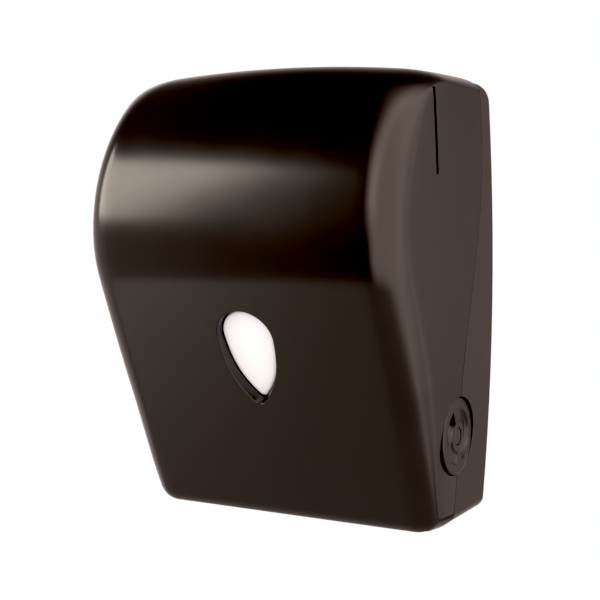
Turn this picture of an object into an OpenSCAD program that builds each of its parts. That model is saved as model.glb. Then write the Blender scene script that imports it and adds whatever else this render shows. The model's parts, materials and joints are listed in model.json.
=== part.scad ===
// Wall-mounted autocut towel dispenser: a curved front cover hinged at its foot on a rear shell, and a
// cutting drum with a hand knob, a pinch roller, a sprung crank and two roll arms inside.
// The origin is the centre of the wall screws on the wall face. +X is right, -Y is out of the wall, +Z is up.

/* [Housing] */
// Width of the housing at its widest height
body_w = 300; // [290:1:320]
// Height of the housing
body_h = 391; // [386:1:400]
// Depth from the wall to the nose of the cover
body_d = 202; // [198:1:215]
// Height of the wall screws' centre above the base
mount_up = 190; // [186:1:194]
// Thickness of the moulded walls
wall = 3; // [2.5:0.1:3.5]
// Radius of the long edges between the front and the sides
edge_r = 28; // [24:1:32]
// Depth of the rounding between the flat top and the sides
top_edge_r = 17.5; // [15:0.5:20]
// Width of that rounding where the flat top starts
top_edge_w = 42; // [36:1:46]
// Width of that rounding at the rear
rear_edge_w = 14; // [12:0.5:18]
// Radius of the corners at the foot of the cover
foot_r = 20; // [16:1:24]
// How much the sides narrow from the middle to the top and the base
side_bulge = 7.4; // [4:0.2:9]
// Draft of the sides towards the front, in degrees
side_draft = 1.46; // [0.5:0.02:2]
// Rise of the top from the sides to the middle
top_crown = 8.4; // [6:0.1:10]
// Height of the nose above the base
nose_up = 254.7; // [248:0.1:262]
// Depth of the curve from the nose back to the flat top
crown_reach = 113.2; // [105:0.1:120]
// Radius of the curve under the nose
chin_r = 114.7; // [100:0.1:130]
// Lean of the straight lower front, in degrees
front_lean = 23.5; // [22:0.1:24.5]

/* [Seam] */
// Distance of the seam from the wall at the top
seam_top = 20.5; // [18:0.5:24]
// Distance of the seam from the wall at the foot
seam_low = 67; // [65:0.5:69]
// Height above the base where the seam starts to sweep back
seam_bend_low = 100; // [95:1:110]
// Height above the base where the seam has swept back
seam_bend_high = 330; // [310:1:340]
// Gap between the cover and the rear shell
seam_gap = 0.8; // [0.6:0.1:1.2]
// Radius of the cover's rear corners, seen from the side
seam_r = 12; // [11:0.5:13]

/* [Rear shell] */
// How far the rear shell's top lies below the cover's top
shell_step = 11.5; // [11:0.5:13]
// How far the rear shell's base lies above the cover's base
shell_rise = 3.5; // [3:0.1:4.5]
// Corner radius of the rear shell, seen from the front
shell_corner = 15; // [12:0.5:17]
// Width of the flange under the cover's top
flange_w = 196; // [160:1:204]
// Distance of the flange's front edge from the wall
flange_out = 34; // [32:0.5:35]

/* [Wall screws] */
// Distance between the wall screws across
bolt_dx = 180; // [160:1:184]
// Distance between the wall screws up
bolt_dz = 240; // [220:1:250]
// Radius of the wall screw holes
bolt_r = 2.75; // [2.25:0.05:3.25]

/* [Side frames] */
// Distance of the frames' inner faces from the middle
frame_x = 120; // [119:0.5:121]
// Thickness of the frames
frame_t = 3; // [2.5:0.1:3]
// Width of the frames' rear flanges
frame_flange = 16; // [14:0.5:18]
// Radius of the frame screws
screw_r = 2; // [1.5:0.1:2.2]
// Radius of the frame screws' heads
screw_head_r = 4; // [3.5:0.1:4.5]
// Height of the frame screws' heads
screw_head_h = 2.5; // [2:0.1:3]
// Reach of the frames in front of the drum's axis
frame_reach = 54; // [53:0.5:55]

/* [Drum] */
// Distance of the drum's axis from the wall
drum_out = 68.5; // [67.5:0.1:69]
// Height of the drum's axis above the base
drum_up = 80.6; // [79:0.1:82]
// Radius of the drum
drum_r = 35; // [34:0.1:35.5]
// Length of the drum between its end caps
drum_len = 206; // [204:1:207]
// Wall of the drum's half shells
drum_wall = 2.5; // [2:0.1:3]
// Thickness of the drum's end caps
cap_t = 3; // [2.5:0.1:3]
// Radius of the drum's shaft
shaft_r = 5; // [4.5:0.1:5.5]
// Direction of the knife slot at rest, in degrees from the wall side upwards
slot_turn = -20; // [-30:1:-10]
// Width of the knife slot
slot_w = 14; // [13:0.5:15]
// Thickness of the rubber grip bands
band_t = 1; // [0.6:0.1:1.2]
// Width of each grip band
band_w = 24; // [16:1:30]

/* [Knife] */
// Place of the knife's rod towards the slot
rod_p = 16; // [15:0.5:16.5]
// Place of the knife's rod beside the slot
rod_q = 18; // [17:0.5:18.5]
// Radius of the knife's rod
rod_r = 3; // [2.5:0.1:3]
// Radius of the knife bar's tube
tube_r = 5.5; // [5:0.1:6]
// Reach of the blade's tip at rest
blade_p = 33.2; // [32:0.1:33.5]
// Thickness of the blade
blade_t = 1; // [0.6:0.1:1.2]
// Pitch of the blade's teeth
tooth = 4; // [3:0.5:6]
// Depth of the blade's teeth
tooth_h = 2.5; // [1.5:0.1:3]
// Radius of the cam roller
roller_r = 4.5; // [4:0.1:4.8]

/* [Pinch roller] */
// Radius of the rubber sleeves
pinch_r = 8; // [7:0.5:8.5]
// Radius of the pinch roller's shaft and of the bail's rod
pinch_shaft_r = 4; // [3.5:0.1:4]
// Angle of the pinch roller above the front of the drum, in degrees
pinch_turn = 50; // [48:1:52]
// Paper gap between the drum and the pinch roller
paper_gap = 0.4; // [0.35:0.05:0.6]
// Distance of the bail's rod from the wall
bail_out = 62; // [61:0.5:63]
// Height of the bail's rod above the drum's axis
bail_up = 57.4; // [56:0.1:59]

/* [Paper path] */
// Gap between the drum and the chute
chute_gap = 12; // [11.5:0.1:12.5]
// Thickness of the chute and of the exit guide
chute_t = 2.5; // [2:0.1:2.5]
// Half width of the slot in the cover's base
exit_half = 132; // [131:0.5:133]
// Distance of the exit guide from the wall
guide_out = 63; // [61:0.5:63.5]

/* [Hand knob] */
// Radius of the knob
knob_r = 32.8; // [31:0.1:33]
// Gap around the knob
knob_gap = 1.5; // [1.4:0.1:1.8]
// Distance of the knob's face from the middle
knob_x = 144.5; // [143.5:0.1:145]
// Thickness of the knob's disc
knob_t = 16; // [15:0.5:17]
// Outer radius of the finger recesses
recess_r = 24.5; // [22:0.1:26]
// Inner radius of the finger recesses
recess_in = 12.5; // [11:0.1:14]
// Depth of the finger recesses
recess_depth = 9; // [7:0.1:10]
// Radius of the knob's cap
knob_cap_r = 7.5; // [6.5:0.1:8.5]

/* [Crank and drive spring] */
// Radius of the crank disc
crank_r = 26; // [25:0.5:27]
// Distance of the crank pin from the drum's axis
crank_throw = 20; // [18:0.5:21]
// Radius of the crank pin and the spring post
post_r = 3; // [2.5:0.1:3.5]
// Height of the spring post above the drum's axis
post_up = 100; // [96:1:104]
// Mean radius of the drive spring
drive_r = 5.5; // [5:0.1:6]
// Radius of the drive spring's wire
drive_wire = 0.8; // [0.6:0.05:1]
// Number of the drive spring's coils
drive_turns = 18; // [14:1:22]

/* [Small springs] */
// Radius of the small springs' wire
wire_r = 0.6; // [0.5:0.05:0.65]
// Number of coils in each small spring
small_turns = 4; // [3:1:4]
// Pitch of the small springs' coils
small_pitch = 1.8; // [1.7:0.05:1.9]

/* [Roll arms] */
// Distance of the roll's axis from the wall
roll_out = 101; // [99:1:103]
// Height of the roll's axis above the base
roll_up = 280; // [276:1:284]
// Width of the roll that fits between the hubs' flanges
roll_w = 200; // [196:1:202]
// Thickness of the arms
arm_t = 4; // [3:0.1:4.5]
// Height of the arms
arm_h = 32; // [26:1:34]
// Distance of the arms' pins from the wall
arm_pin_out = 14; // [13:0.5:15]
// Radius of the arms' pins
arm_pin_r = 3; // [2.5:0.1:3]
// Radius of the hubs' flanges
hub_r = 28; // [24:0.5:32]
// Radius of the hubs' plugs at the flange
plug_r = 18; // [17:0.5:19]
// Length of the hubs' plugs
plug_len = 12; // [10:0.5:14]
// Radius of the pins that the hubs turn on
hub_pin_r = 4; // [3.5:0.1:5]

/* [Cover hinge] */
// Radius of the hinge pins
hinge_r = 3; // [2.5:0.1:3.5]
// Radius of the hinge lugs
lug_r = 8; // [7:0.1:8]
// Thickness of the base brackets
base_lug_t = 5; // [4:0.1:6]
// Thickness of the cover's lugs
cover_lug_t = 4; // [3:0.1:4.5]

/* [Lock] */
// Distance of the lock from the wall
lock_out = 52; // [51:0.5:53]
// Radius of the lock's barrel
lock_r = 8; // [7:0.1:8.5]
// Reach of the lock's tongue
tongue_reach = 26; // [25.5:0.1:26.5]
// Height of the tongue's upturned end
tongue_up = 6; // [5:0.1:6.5]

/* [Badge] */
// Height of the drop's widest place above the base
drop_up = 166; // [160:1:170]
// Radius of the drop's round end
drop_r = 24; // [21:0.5:26]
// Radius of the drop's tip
drop_tip_r = 5; // [4:0.5:7]
// Distance between the centres of the round end and the tip
drop_len = 55; // [50:0.5:60]
// Depth of the badge's face below the cover's surface
badge_recess = 6; // [5:0.1:7]
// Thickness of the badge
badge_t = 2; // [1.5:0.1:3]

/* [Sight slots] */
// Distance of the slots from the wall
sight_out = 117.6; // [112:0.1:122]
// Height of the slots' lower ends above the base
sight_up = 300.3; // [296:0.1:306]
// Length of the slots
sight_len = 68.7; // [60:0.1:72]
// Width of the slots
sight_w = 4.5; // [3:0.1:6]

/* [Clearances] */
// Radial clearance of a turning fit
run_gap = 0.05; // [0.02:0.01:0.08]
// Clearance of a fixed seat
seat_gap = 0.02; // [0.02:0.01:0.05]
// Clearance between a moving face and its neighbour
side_gap = 0.3; // [0.25:0.05:0.4]

/* [Hidden] */
$fn = 64;

// Colours of the mouldings, the inner plastic, the metals and the rubber
cover_colour = [0.12, 0.10, 0.09];
shell_colour = [0.16, 0.14, 0.13];
inner_colour = [0.55, 0.56, 0.58];
steel_colour = [0.72, 0.73, 0.75];
rubber_colour = [0.10, 0.10, 0.10];
white_colour = [0.95, 0.95, 0.94];
drum_colour = [0.80, 0.81, 0.82];

// Heights and depths in the frame of the wall screws
base_z = -mount_up;
top_z = body_h - mount_up;
mid_z = (top_z + base_z) / 2;
nose_z = base_z + nose_up;
drum_y = -drum_out;
drum_z = base_z + drum_up;
roll_y = -roll_out;
roll_z = base_z + roll_up;
overcut = 1;
far = 2 * body_d;

// Half width of the housing at a height and a depth
function half_w(z, y) = body_w / 2 - side_bulge * pow((z - mid_z) / (body_h / 2), 2) + y * tan(side_draft);

// The side profile: a quarter ellipse over the nose, an arc under it and a straight lower front
crown_h = top_z - nose_z;
function on_crown(t) = [crown_reach - body_d - crown_reach * cos(t), nose_z + crown_h * sin(t)];
function crown_normal(t) = let (v = [-cos(t) / crown_reach, sin(t) / crown_h]) v / norm(v);
function chin_normal(t) = [-cos(t), -sin(t)];
function on_chin(t) = [chin_r - body_d, nose_z] + chin_r * chin_normal(t);
chin_end = on_chin(front_lean);
function front_y(z) = chin_end[0] + (chin_end[1] - z) * tan(front_lean);
foot_z = base_z + foot_r;
foot_y = front_y(foot_z) + foot_r / cos(front_lean);

// Over the crown the long edges change from round to wide and shallow
function smooth(t) = let (c = max(0, min(1, t))) c * c * (3 - 2 * c);
edge_turns = [45, 75];
function edge_change(t) = smooth((t - edge_turns[0]) / (edge_turns[1] - edge_turns[0]));
function crown_edge_r(t) = edge_r + (top_edge_r - edge_r) * edge_change(t);
function crown_edge_w(t) = edge_r + (top_edge_w - edge_r) * edge_change(t);

// Places of the balls that round the long edges: depth, height, share of the top's crown, radius and width
crown_turns = [90, 78, 68, 58, 48, 38, 28, 18, 9, 0];
chin_turns = [front_lean / 3, front_lean * 2 / 3, front_lean];
lower_shares = [1 / 3, 2 / 3, 1];
lower_end = base_z + edge_r;
edge_places = concat(
  [for (t = crown_turns)
    concat(on_crown(t) - crown_edge_r(t) * crown_normal(t), [sin(t), crown_edge_r(t), crown_edge_w(t)])],
  [for (t = chin_turns) concat(on_chin(t) - edge_r * chin_normal(t), [0, edge_r, edge_r])],
  [for (k = lower_shares)
    let (z = chin_end[1] + k * (lower_end - chin_end[1]))
      [front_y(z) + edge_r / cos(front_lean), z, 0, edge_r, edge_r]],
  [[edge_r, top_z - top_edge_r, 1, top_edge_r, rear_edge_w]]);
crown_least = 0.5;
crown_shares = [-0.6, -0.2, 0.2, 0.6];
back_steps = 6;
ball_sides = 24;

module ball(x, y, z, r, w) translate([x, y, z]) scale([w / r, 1, 1]) sphere(r = r, $fn = ball_sides);

// A ball at a place and a share of the way from the middle to the side, lowered with the crown
module edge_ball(e, share, inset) {
  x = share * (half_w(e[1], e[0]) - e[4]);
  ball(x, e[0], e[1] - top_crown * e[2] * pow(2 * x / body_w, 2), e[3] - inset, e[4] - inset);
}

// The housing's outer form, or its hollow when inset by the wall, running on behind the wall face
module housing_form(inset) hull() {
  for (e = edge_places, share = [-1, 1]) edge_ball(e, share, inset);
  for (e = edge_places, share = crown_shares)
    if (e[2] > crown_least) edge_ball(e, share, inset);
  for (side = [-1, 1], y = [foot_y, foot_r])
    ball(side * (half_w(foot_z, y) - foot_r), y, foot_z, foot_r - inset, foot_r - inset);
  for (k = [1:back_steps], side = [-1, 1])
    let (z = foot_z + k / back_steps * (top_z - edge_r - top_crown - foot_z))
      ball(side * (half_w(z, edge_r) - edge_r), edge_r, z, edge_r - inset, edge_r - inset);
}

// Extrudes a side view of depth and height across the housing
module across(x0, x1) translate([x0, 0, 0]) rotate([90, 0, 90]) linear_extrude(x1 - x0) children();

// A round bar across the housing
module bar(y, z, r, x0, x1) translate([x0, y, z]) rotate([0, 90, 0]) cylinder(r = r, h = x1 - x0);

// A box between two corners
module box(low, high) translate(low) cube(high - low);

// The left piece of a pair
module left() mirror([1, 0, 0]) children();

// Depth of the seam at a height
function seam_y(z) = let (bend = (base_z + seam_bend_high - z) / (seam_bend_high - seam_bend_low))
  -seam_top - (seam_low - seam_top) * smooth(bend);
seam_steps = 24;
corner_step = 10;
corner_turns = [corner_step:corner_step:90];
// How much lower the cover's rear corners reach than the rear shell's base
shell_foot_lap = 1.5;
seam_foot_z = base_z + shell_rise - shell_foot_lap + seam_r;

// Side view of all that belongs to the cover
module cover_zone() {
  low_z = seam_foot_z;
  high_z = top_z - seam_r;
  polygon(concat(
    [for (k = [0:seam_steps]) let (z = low_z + k / seam_steps * (high_z - low_z)) [seam_y(z), z]],
    [for (t = corner_turns) [-seam_top - seam_r * (1 - cos(t)), high_z + seam_r * sin(t)]],
    [[-seam_top - seam_r, top_z + edge_r], [-far, top_z + edge_r], [-far, base_z - edge_r]],
    [[foot_y, base_z - edge_r], [foot_y, base_z]],
    [for (t = corner_turns) [-seam_low - seam_r * (1 - sin(t)), low_z - seam_r * cos(t)]]));
}

// Side view of all that lies in front of the rear shell's edge
module shell_cut() {
  polygon(concat(
    [for (k = [0:seam_steps]) let (z = base_z + k / seam_steps * body_h) [seam_y(z) + seam_gap, z]],
    [[-seam_top + seam_gap, top_z + edge_r], [-far, top_z + edge_r], [-far, base_z - edge_r],
     [-seam_low + seam_gap, base_z - edge_r]]));
}

// Front view of the rear shell, inset by a thickness
shell_top = top_z - shell_step;
shell_base = base_z + shell_rise;
side_steps = 8;
function shell_edge(inset) = let (
    r = shell_corner - inset,
    low = shell_base + shell_corner,
    high = shell_top - shell_corner,
    low_x = half_w(low, 0) - shell_corner,
    high_x = half_w(high, 0) - shell_corner)
  concat(
    [[low_x, low - r]],
    [for (t = corner_turns) [low_x + r * sin(t), low - r * cos(t)]],
    [for (k = [1:side_steps - 1])
      let (z = low + k / side_steps * (high - low)) [half_w(z, 0) - inset, z]],
    [for (t = corner_turns) [high_x + r * sin(90 - t + corner_step), high + r * cos(90 - t + corner_step)]],
    [[high_x, high + r]]);
function flip(points) = [for (k = [len(points) - 1:-1:0]) [-points[k][0], points[k][1]]];
module shell_outline(inset) polygon(concat(shell_edge(inset), flip(shell_edge(inset))));
module shell_block(inset, depth)
  rotate([90, 0, 0])
    linear_extrude(depth, scale = [1 - depth * tan(side_draft) / (body_w / 2), 1], slices = 1)
      shell_outline(inset);

// The knob's round opening in both mouldings
module knob_opening() bar(drum_y, drum_z, knob_r + knob_gap, frame_x + frame_t, far);

module rear_shell() color(shell_colour) {
  depth = seam_low + seam_r;
  difference() {
    union() {
      difference() {
        shell_block(0, depth);
        translate([0, -wall, 0]) shell_block(wall, depth);
        across(-far, far) shell_cut();
      }
      box([-flange_w / 2, -flange_out, shell_top - wall], [flange_w / 2, -wall, shell_top]);
    }
    for (x = [-1, 1], z = [-1, 1])
      translate([x * bolt_dx / 2, overcut, z * bolt_dz / 2]) rotate([90, 0, 0]) cylinder(r = bolt_r, h = far);
    for (p = frame_screw_places) frame_screw_hole(p, screw_bite);
    knob_opening();
  }
}

// Side frames: plates that carry the drum, the bail and the chute, with flanges on the rear wall
post_z = drum_z + post_up;
bail_y = -bail_out;
bail_z = drum_z + bail_up;
bush_wall = 3;
bearing_wall = 6;
bush_r = shaft_r + bush_wall;
bearing_r = shaft_r + bearing_wall;
frame_foot = 58;
frame_margin = 12;
frame_screw_low = 35;
frame_screw_high = 85;
screw_bite = 2.5;
screw_play = 0.1;
frame_screw_x = frame_x - frame_flange / 2;
frame_screw_places = [for (side = [-1, 1], up = [-frame_screw_low, frame_screw_high])
  [side * frame_screw_x, drum_z + up]];
frame_side = [[-wall, drum_z - frame_foot], [drum_y - frame_reach / 2, drum_z - frame_foot],
  [drum_y - frame_reach, drum_z - frame_margin], [drum_y - frame_reach, drum_z + frame_reach / 2],
  [drum_y - frame_margin, post_z + frame_margin], [drum_y + frame_margin, post_z + frame_margin],
  [-wall, drum_z + frame_screw_high + frame_margin]];

module frame_screw_hole(p, bite)
  translate([p[0], -wall - frame_t - overcut, p[1]]) rotate([-90, 0, 0])
    cylinder(r = screw_r + screw_play, h = frame_t + overcut + bite + seat_gap);

// One frame on the right, with its bearing's hole
module frame_plate(hole_r) difference() {
  union() {
    across(frame_x, frame_x + frame_t) polygon(frame_side);
    box([frame_x - frame_flange, -wall - frame_t, drum_z - frame_foot],
      [frame_x, -wall, drum_z + frame_screw_high + frame_margin]);
  }
  bar(drum_y, drum_z, hole_r + seat_gap, frame_x - overcut, frame_x + frame_t + overcut);
  bar(bail_y, bail_z, pinch_shaft_r + run_gap, frame_x - overcut, frame_x + frame_t + overcut);
  bar(drum_y, post_z, post_r + seat_gap, frame_x - overcut, frame_x + frame_t + overcut);
  for (p = frame_screw_places) frame_screw_hole(p, 0);
}
module left_frame() color(inner_colour) left() frame_plate(bush_r);
module right_frame() color(inner_colour) frame_plate(bearing_r);

module frame_screws() color(steel_colour)
  for (p = frame_screw_places)
    translate([p[0], -wall - frame_t, p[1]]) {
      rotate([90, 0, 0]) cylinder(r = screw_head_r, h = screw_head_h);
      rotate([-90, 0, 0]) cylinder(r = screw_r, h = frame_t + screw_bite);
    }

// Bearings of the drum's shaft, each with a flange on the frame's outer face
flange_t = 1.5;
flange_lip = 2.5;
module bearing(r) difference() {
  union() {
    bar(drum_y, drum_z, r, frame_x, frame_x + frame_t);
    bar(drum_y, drum_z, r + flange_lip, frame_x + frame_t, frame_x + frame_t + flange_t);
  }
  bar(drum_y, drum_z, shaft_r + run_gap, frame_x - overcut, frame_x + frame_t + flange_t + overcut);
}
module drum_bush() color(white_colour) left() bearing(bush_r);
module one_way_bearing() color(steel_colour) bearing(bearing_r);

// Places in the drum's own frame: p towards the knife slot, q beside it
module in_drum() translate([0, drum_y, drum_z]) rotate([slot_turn, 0, 0]) children();
drum_half = drum_len / 2;
slot_margin = 6;
slot_half = drum_half - slot_margin;
cap_x = drum_half + cap_t;
cam_arm_t = 3;
cam_arm_gap = 1.5;
arm_x = cap_x + cam_arm_gap;
cam_roller_w = 4;
roller_x = arm_x + cam_arm_t + side_gap;
roller_back = 18;
roller_side = 9;
roller_p = rod_p - roller_back;
roller_q = -rod_q - roller_side;
roller_orbit = norm([roller_p, roller_q]) + roller_r;
stud_r = 2;

// Fixed cam: a plate on the left frame with a rim round the roller's path and one lobe
cam_floor = 4;
cam_play = 4;
cam_rim = 4;
cam_hole = 12;
lobe_r = 10;
lobe_gap = 0.6;
lobe_turn = 215;
cam_track_r = roller_orbit + cam_play;
lobe_at = roller_orbit + lobe_gap + lobe_r;
module cam_plate() color(inner_colour) left() difference() {
  bar(drum_y, drum_z, cam_track_r + cam_rim, roller_x, frame_x);
  difference() {
    bar(drum_y, drum_z, cam_track_r, roller_x - overcut, frame_x - cam_floor);
    bar(drum_y + lobe_at * cos(lobe_turn), drum_z + lobe_at * sin(lobe_turn), lobe_r,
      roller_x - overcut, frame_x);
  }
  bar(drum_y, drum_z, cam_hole, roller_x, frame_x + overcut);
}

// Crank and drive spring on the left, outside the frame
flange_gap = 1;
crank_x = frame_x + frame_t + flange_t + flange_gap;
crank_t = 4;
pin_len = 8.5;
spring_x = crank_x + crank_t + pin_len / 2;
module spring_post() color(steel_colour) left()
  bar(drum_y, post_z, post_r, frame_x, spring_x + pin_len / 2);
module crank_disc() color(inner_colour) left() difference() {
  bar(drum_y, drum_z, crank_r, crank_x, crank_x + crank_t);
  bar(drum_y, drum_z, shaft_r + seat_gap, crank_x - overcut, crank_x + crank_t + overcut);
  bar(drum_y, drum_z + crank_throw, post_r + seat_gap, crank_x - overcut, crank_x + crank_t + overcut);
}
module crank_pin() color(steel_colour) left()
  bar(drum_y, drum_z + crank_throw, post_r, crank_x, spring_x + pin_len / 2);

// Tube swept along a path, with rings carried along the path without twist
tube_sides = 6;
curl_rings = 8;
function unit(v) = v / norm(v);
function path_dir(path, k) = unit(path[min(k + 1, len(path) - 1)] - path[max(k - 1, 0)]);
function flat_to(n, t) = unit(n - (n * t) * t);
function any_side(t) = flat_to(abs(t[0]) < 0.5 ? [1, 0, 0] : [0, 1, 0], t);
function ring_normals(path) = [for (k = 0, n = any_side(path_dir(path, 0)); k < len(path);
  k = k + 1, n = k < len(path) ? flat_to(n, path_dir(path, k)) : n) n];
module tube(path, r) {
  normals = ring_normals(path);
  last = len(path) - 1;
  points = [for (k = [0:last], j = [0:tube_sides - 1])
    let (t = path_dir(path, k), n = normals[k], a = 360 * j / tube_sides)
      path[k] + r * (cos(a) * n + sin(a) * cross(t, n))];
  function at(k, j) = k * tube_sides + j % tube_sides;
  polyhedron(points, concat(
    [for (k = [0:last - 1], j = [0:tube_sides - 1]) [at(k, j), at(k + 1, j), at(k + 1, j + 1)]],
    [for (k = [0:last - 1], j = [0:tube_sides - 1]) [at(k, j), at(k + 1, j + 1), at(k, j + 1)]],
    [for (j = [1:tube_sides - 2]) [at(0, 0), at(0, j), at(0, j + 1)]],
    [for (j = [1:tube_sides - 2]) [at(last, 0), at(last, j + 1), at(last, j)]]));
}
// Least gap between stretches of a path that lie more than half a coil apart
function self_gap(path, r) = min([for (i = [0:len(path) - 1], j = [0:len(path) - 1])
  if (j - i > curl_rings / 2) norm(path[i] - path[j]) - 2 * r]);

// Path of the drive spring, straight at both ends, from its lower end up
drive_low = drum_z + crank_throw + post_r + side_gap;
drive_high = post_z - post_r - side_gap;
drive_lead = 2 * drive_wire;
drive_coil = drive_high - drive_low - 4 * drive_lead;
drive_count = drive_turns * curl_rings;
function drive_swell(k) = min(1, k / (curl_rings / 2), (drive_count - k) / (curl_rings / 2));
drive_path = concat([[0, 0, drive_low], [0, 0, drive_low + drive_lead]],
  [for (k = [1:drive_count - 1]) let (a = 360 * k / curl_rings, r = drive_r * drive_swell(k))
    [r * cos(a), r * sin(a), drive_low + 2 * drive_lead + drive_coil * k / drive_count]],
  [[0, 0, drive_high - drive_lead], [0, 0, drive_high]]);
module drive_spring() color(steel_colour) translate([-spring_x, drum_y, 0]) tube(drive_path, drive_wire);

// Path of a small spring round a pin, along +Z from its first coil, with a straight leg at each end
small_count = small_turns * curl_rings;
small_len = small_turns * small_pitch;
small_leg = 5;
function small_path(r) = let (
    rise = small_pitch / 360,
    coil = [for (k = [0:small_count]) let (a = 360 * k / curl_rings) [r * cos(a), r * sin(a), rise * a]],
    n = len(coil) - 1)
  concat([coil[0] - small_leg * [0, 1, 0]], coil, [coil[n] + small_leg * [0, 1, 0]]);
function small_r(pin_r) = pin_r + wire_r + 2 * side_gap;
echo(least_spring_gaps = [self_gap(drive_path, drive_wire), self_gap(small_path(small_r(rod_r)), wire_r)]);

// Drum
module drum_shaft() color(steel_colour) bar(drum_y, drum_z, shaft_r, -crank_x - crank_t, shaft_end);
module drum_tube() difference() {
  bar(0, 0, drum_r, -drum_half, drum_half);
  bar(0, 0, drum_r - drum_wall, -drum_half - overcut, drum_half + overcut);
}
module slot_space() box([-slot_half, rod_p, -slot_w / 2], [slot_half, drum_r + band_t + overcut, slot_w / 2]);
module drum_slot_half() color(drum_colour) in_drum() difference() {
  drum_tube();
  box([-far, -far, -far], [far, 0, far]);
  slot_space();
}
module drum_plain_half() color(drum_colour) in_drum() difference() {
  drum_tube();
  box([-far, 0, -far], [far, far, far]);
}
spigot = 4;
module drum_cap() in_drum() difference() {
  union() {
    bar(0, 0, drum_r, drum_half, cap_x);
    bar(0, 0, drum_r - drum_wall - seat_gap, drum_half - spigot, drum_half);
  }
  bar(0, 0, shaft_r + seat_gap, drum_half - spigot - overcut, cap_x + overcut);
  bar(rod_p, -rod_q, rod_r + run_gap, drum_half - spigot - overcut, cap_x + overcut);
}
module drum_cap_right() color(inner_colour) drum_cap();
module drum_cap_left() color(inner_colour) left() drum_cap();
band_places = [-3, -1, 1, 3] * drum_len / 8;
module grip_bands() color(rubber_colour) in_drum() difference() {
  for (x = band_places) bar(0, 0, drum_r + band_t, x - band_w / 2, x + band_w / 2);
  bar(0, 0, drum_r, -far, far);
  slot_space();
}

// Knife: a bar that turns on its rod inside the drum and swings the blade out of the slot
rod_out = arm_x + cam_arm_t;
bar_margin = 2;
bar_half = slot_half - bar_margin;
bar_t = 4;
blade_q = 3;
clamp_t = 3;
clamp_p = 26;
knife_spring_play = 3;
knife_spring_room = small_len + knife_spring_play;
clamp_q = blade_q + blade_t / 2;
bar_low = rod_p - bar_t / 4;
bar_high = bar_low + bar_t;
module knife_rod() color(steel_colour) in_drum() bar(rod_p, -rod_q, rod_r, -rod_out, cap_x);
module knife_bar() color(inner_colour) in_drum() difference() {
  union() {
    bar(rod_p, -rod_q, tube_r, -bar_half, bar_half - knife_spring_room);
    box([-bar_half, bar_low, -rod_q], [bar_half, bar_high, clamp_q + clamp_t]);
    box([-bar_half, bar_high, clamp_q], [bar_half, clamp_p, clamp_q + clamp_t]);
  }
  bar(rod_p, -rod_q, rod_r + seat_gap, -far, far);
  bar(rod_p, -rod_q, tube_r + side_gap, bar_half - knife_spring_room, far);
}
tooth_count = floor(2 * bar_half / tooth);
module knife_blade() color(steel_colour) in_drum()
  translate([-tooth * tooth_count / 2, 0, blade_q - blade_t / 2]) linear_extrude(blade_t) polygon(concat(
    [[tooth * tooth_count, bar_high], [0, bar_high]],
    [for (k = [0:tooth_count - 1]) each [[k * tooth, blade_p - tooth_h], [(k + 0.5) * tooth, blade_p]]],
    [[tooth_count * tooth, blade_p - tooth_h]]));
module knife_spring() color(steel_colour) in_drum()
  translate([bar_half - small_len - wire_r - side_gap, rod_p, -rod_q]) rotate([0, 90, 0])
    tube(small_path(small_r(rod_r)), wire_r);
module cam_arm() color(steel_colour) in_drum() left() {
  difference() {
    union() {
      across(arm_x, rod_out) hull() {
        translate([rod_p, -rod_q]) circle(tube_r);
        translate([roller_p, roller_q]) circle(roller_r);
      }
      bar(roller_p, roller_q, stud_r, rod_out, roller_x + cam_roller_w);
    }
    bar(rod_p, -rod_q, rod_r + seat_gap, arm_x - overcut, rod_out + overcut);
  }
}
module cam_roller() color(white_colour) in_drum() left() difference() {
  bar(roller_p, roller_q, roller_r, roller_x, roller_x + cam_roller_w);
  bar(roller_p, roller_q, stud_r + run_gap, roller_x - overcut, roller_x + cam_roller_w + overcut);
}

// Hand knob, flush in the right side, with two finger recesses
knob_hub_r = 9;
hub_start = frame_x + frame_t + flange_t + flange_gap;
knob_cap_t = 2.5;
knob_web = 3;
shaft_end = knob_x - knob_cap_t - knob_web;
recess_turns = [115, 295];
recess_span = 155;
recess_steps = 12;
module recess_side(start) difference() {
  intersection() {
    circle(recess_r);
    polygon(concat([[0, 0]], [for (k = [0:recess_steps]) let (a = start + recess_span * k / recess_steps)
      2 * recess_r * [cos(a), sin(a)]]));
  }
  circle(recess_in);
}
module hand_knob() color(cover_colour) difference() {
  union() {
    bar(drum_y, drum_z, knob_r, knob_x - knob_t, knob_x);
    bar(drum_y, drum_z, knob_hub_r, hub_start, knob_x - knob_t);
  }
  bar(drum_y, drum_z, shaft_r + seat_gap, hub_start - overcut, shaft_end + seat_gap);
  bar(drum_y, drum_z, knob_cap_r + seat_gap, knob_x - knob_cap_t, knob_x + overcut);
  for (start = recess_turns)
    translate([0, drum_y, drum_z]) across(knob_x - recess_depth, knob_x + overcut) recess_side(start);
}
module knob_cap() color(cover_colour) bar(drum_y, drum_z, knob_cap_r, knob_x - knob_cap_t, knob_x);

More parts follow.
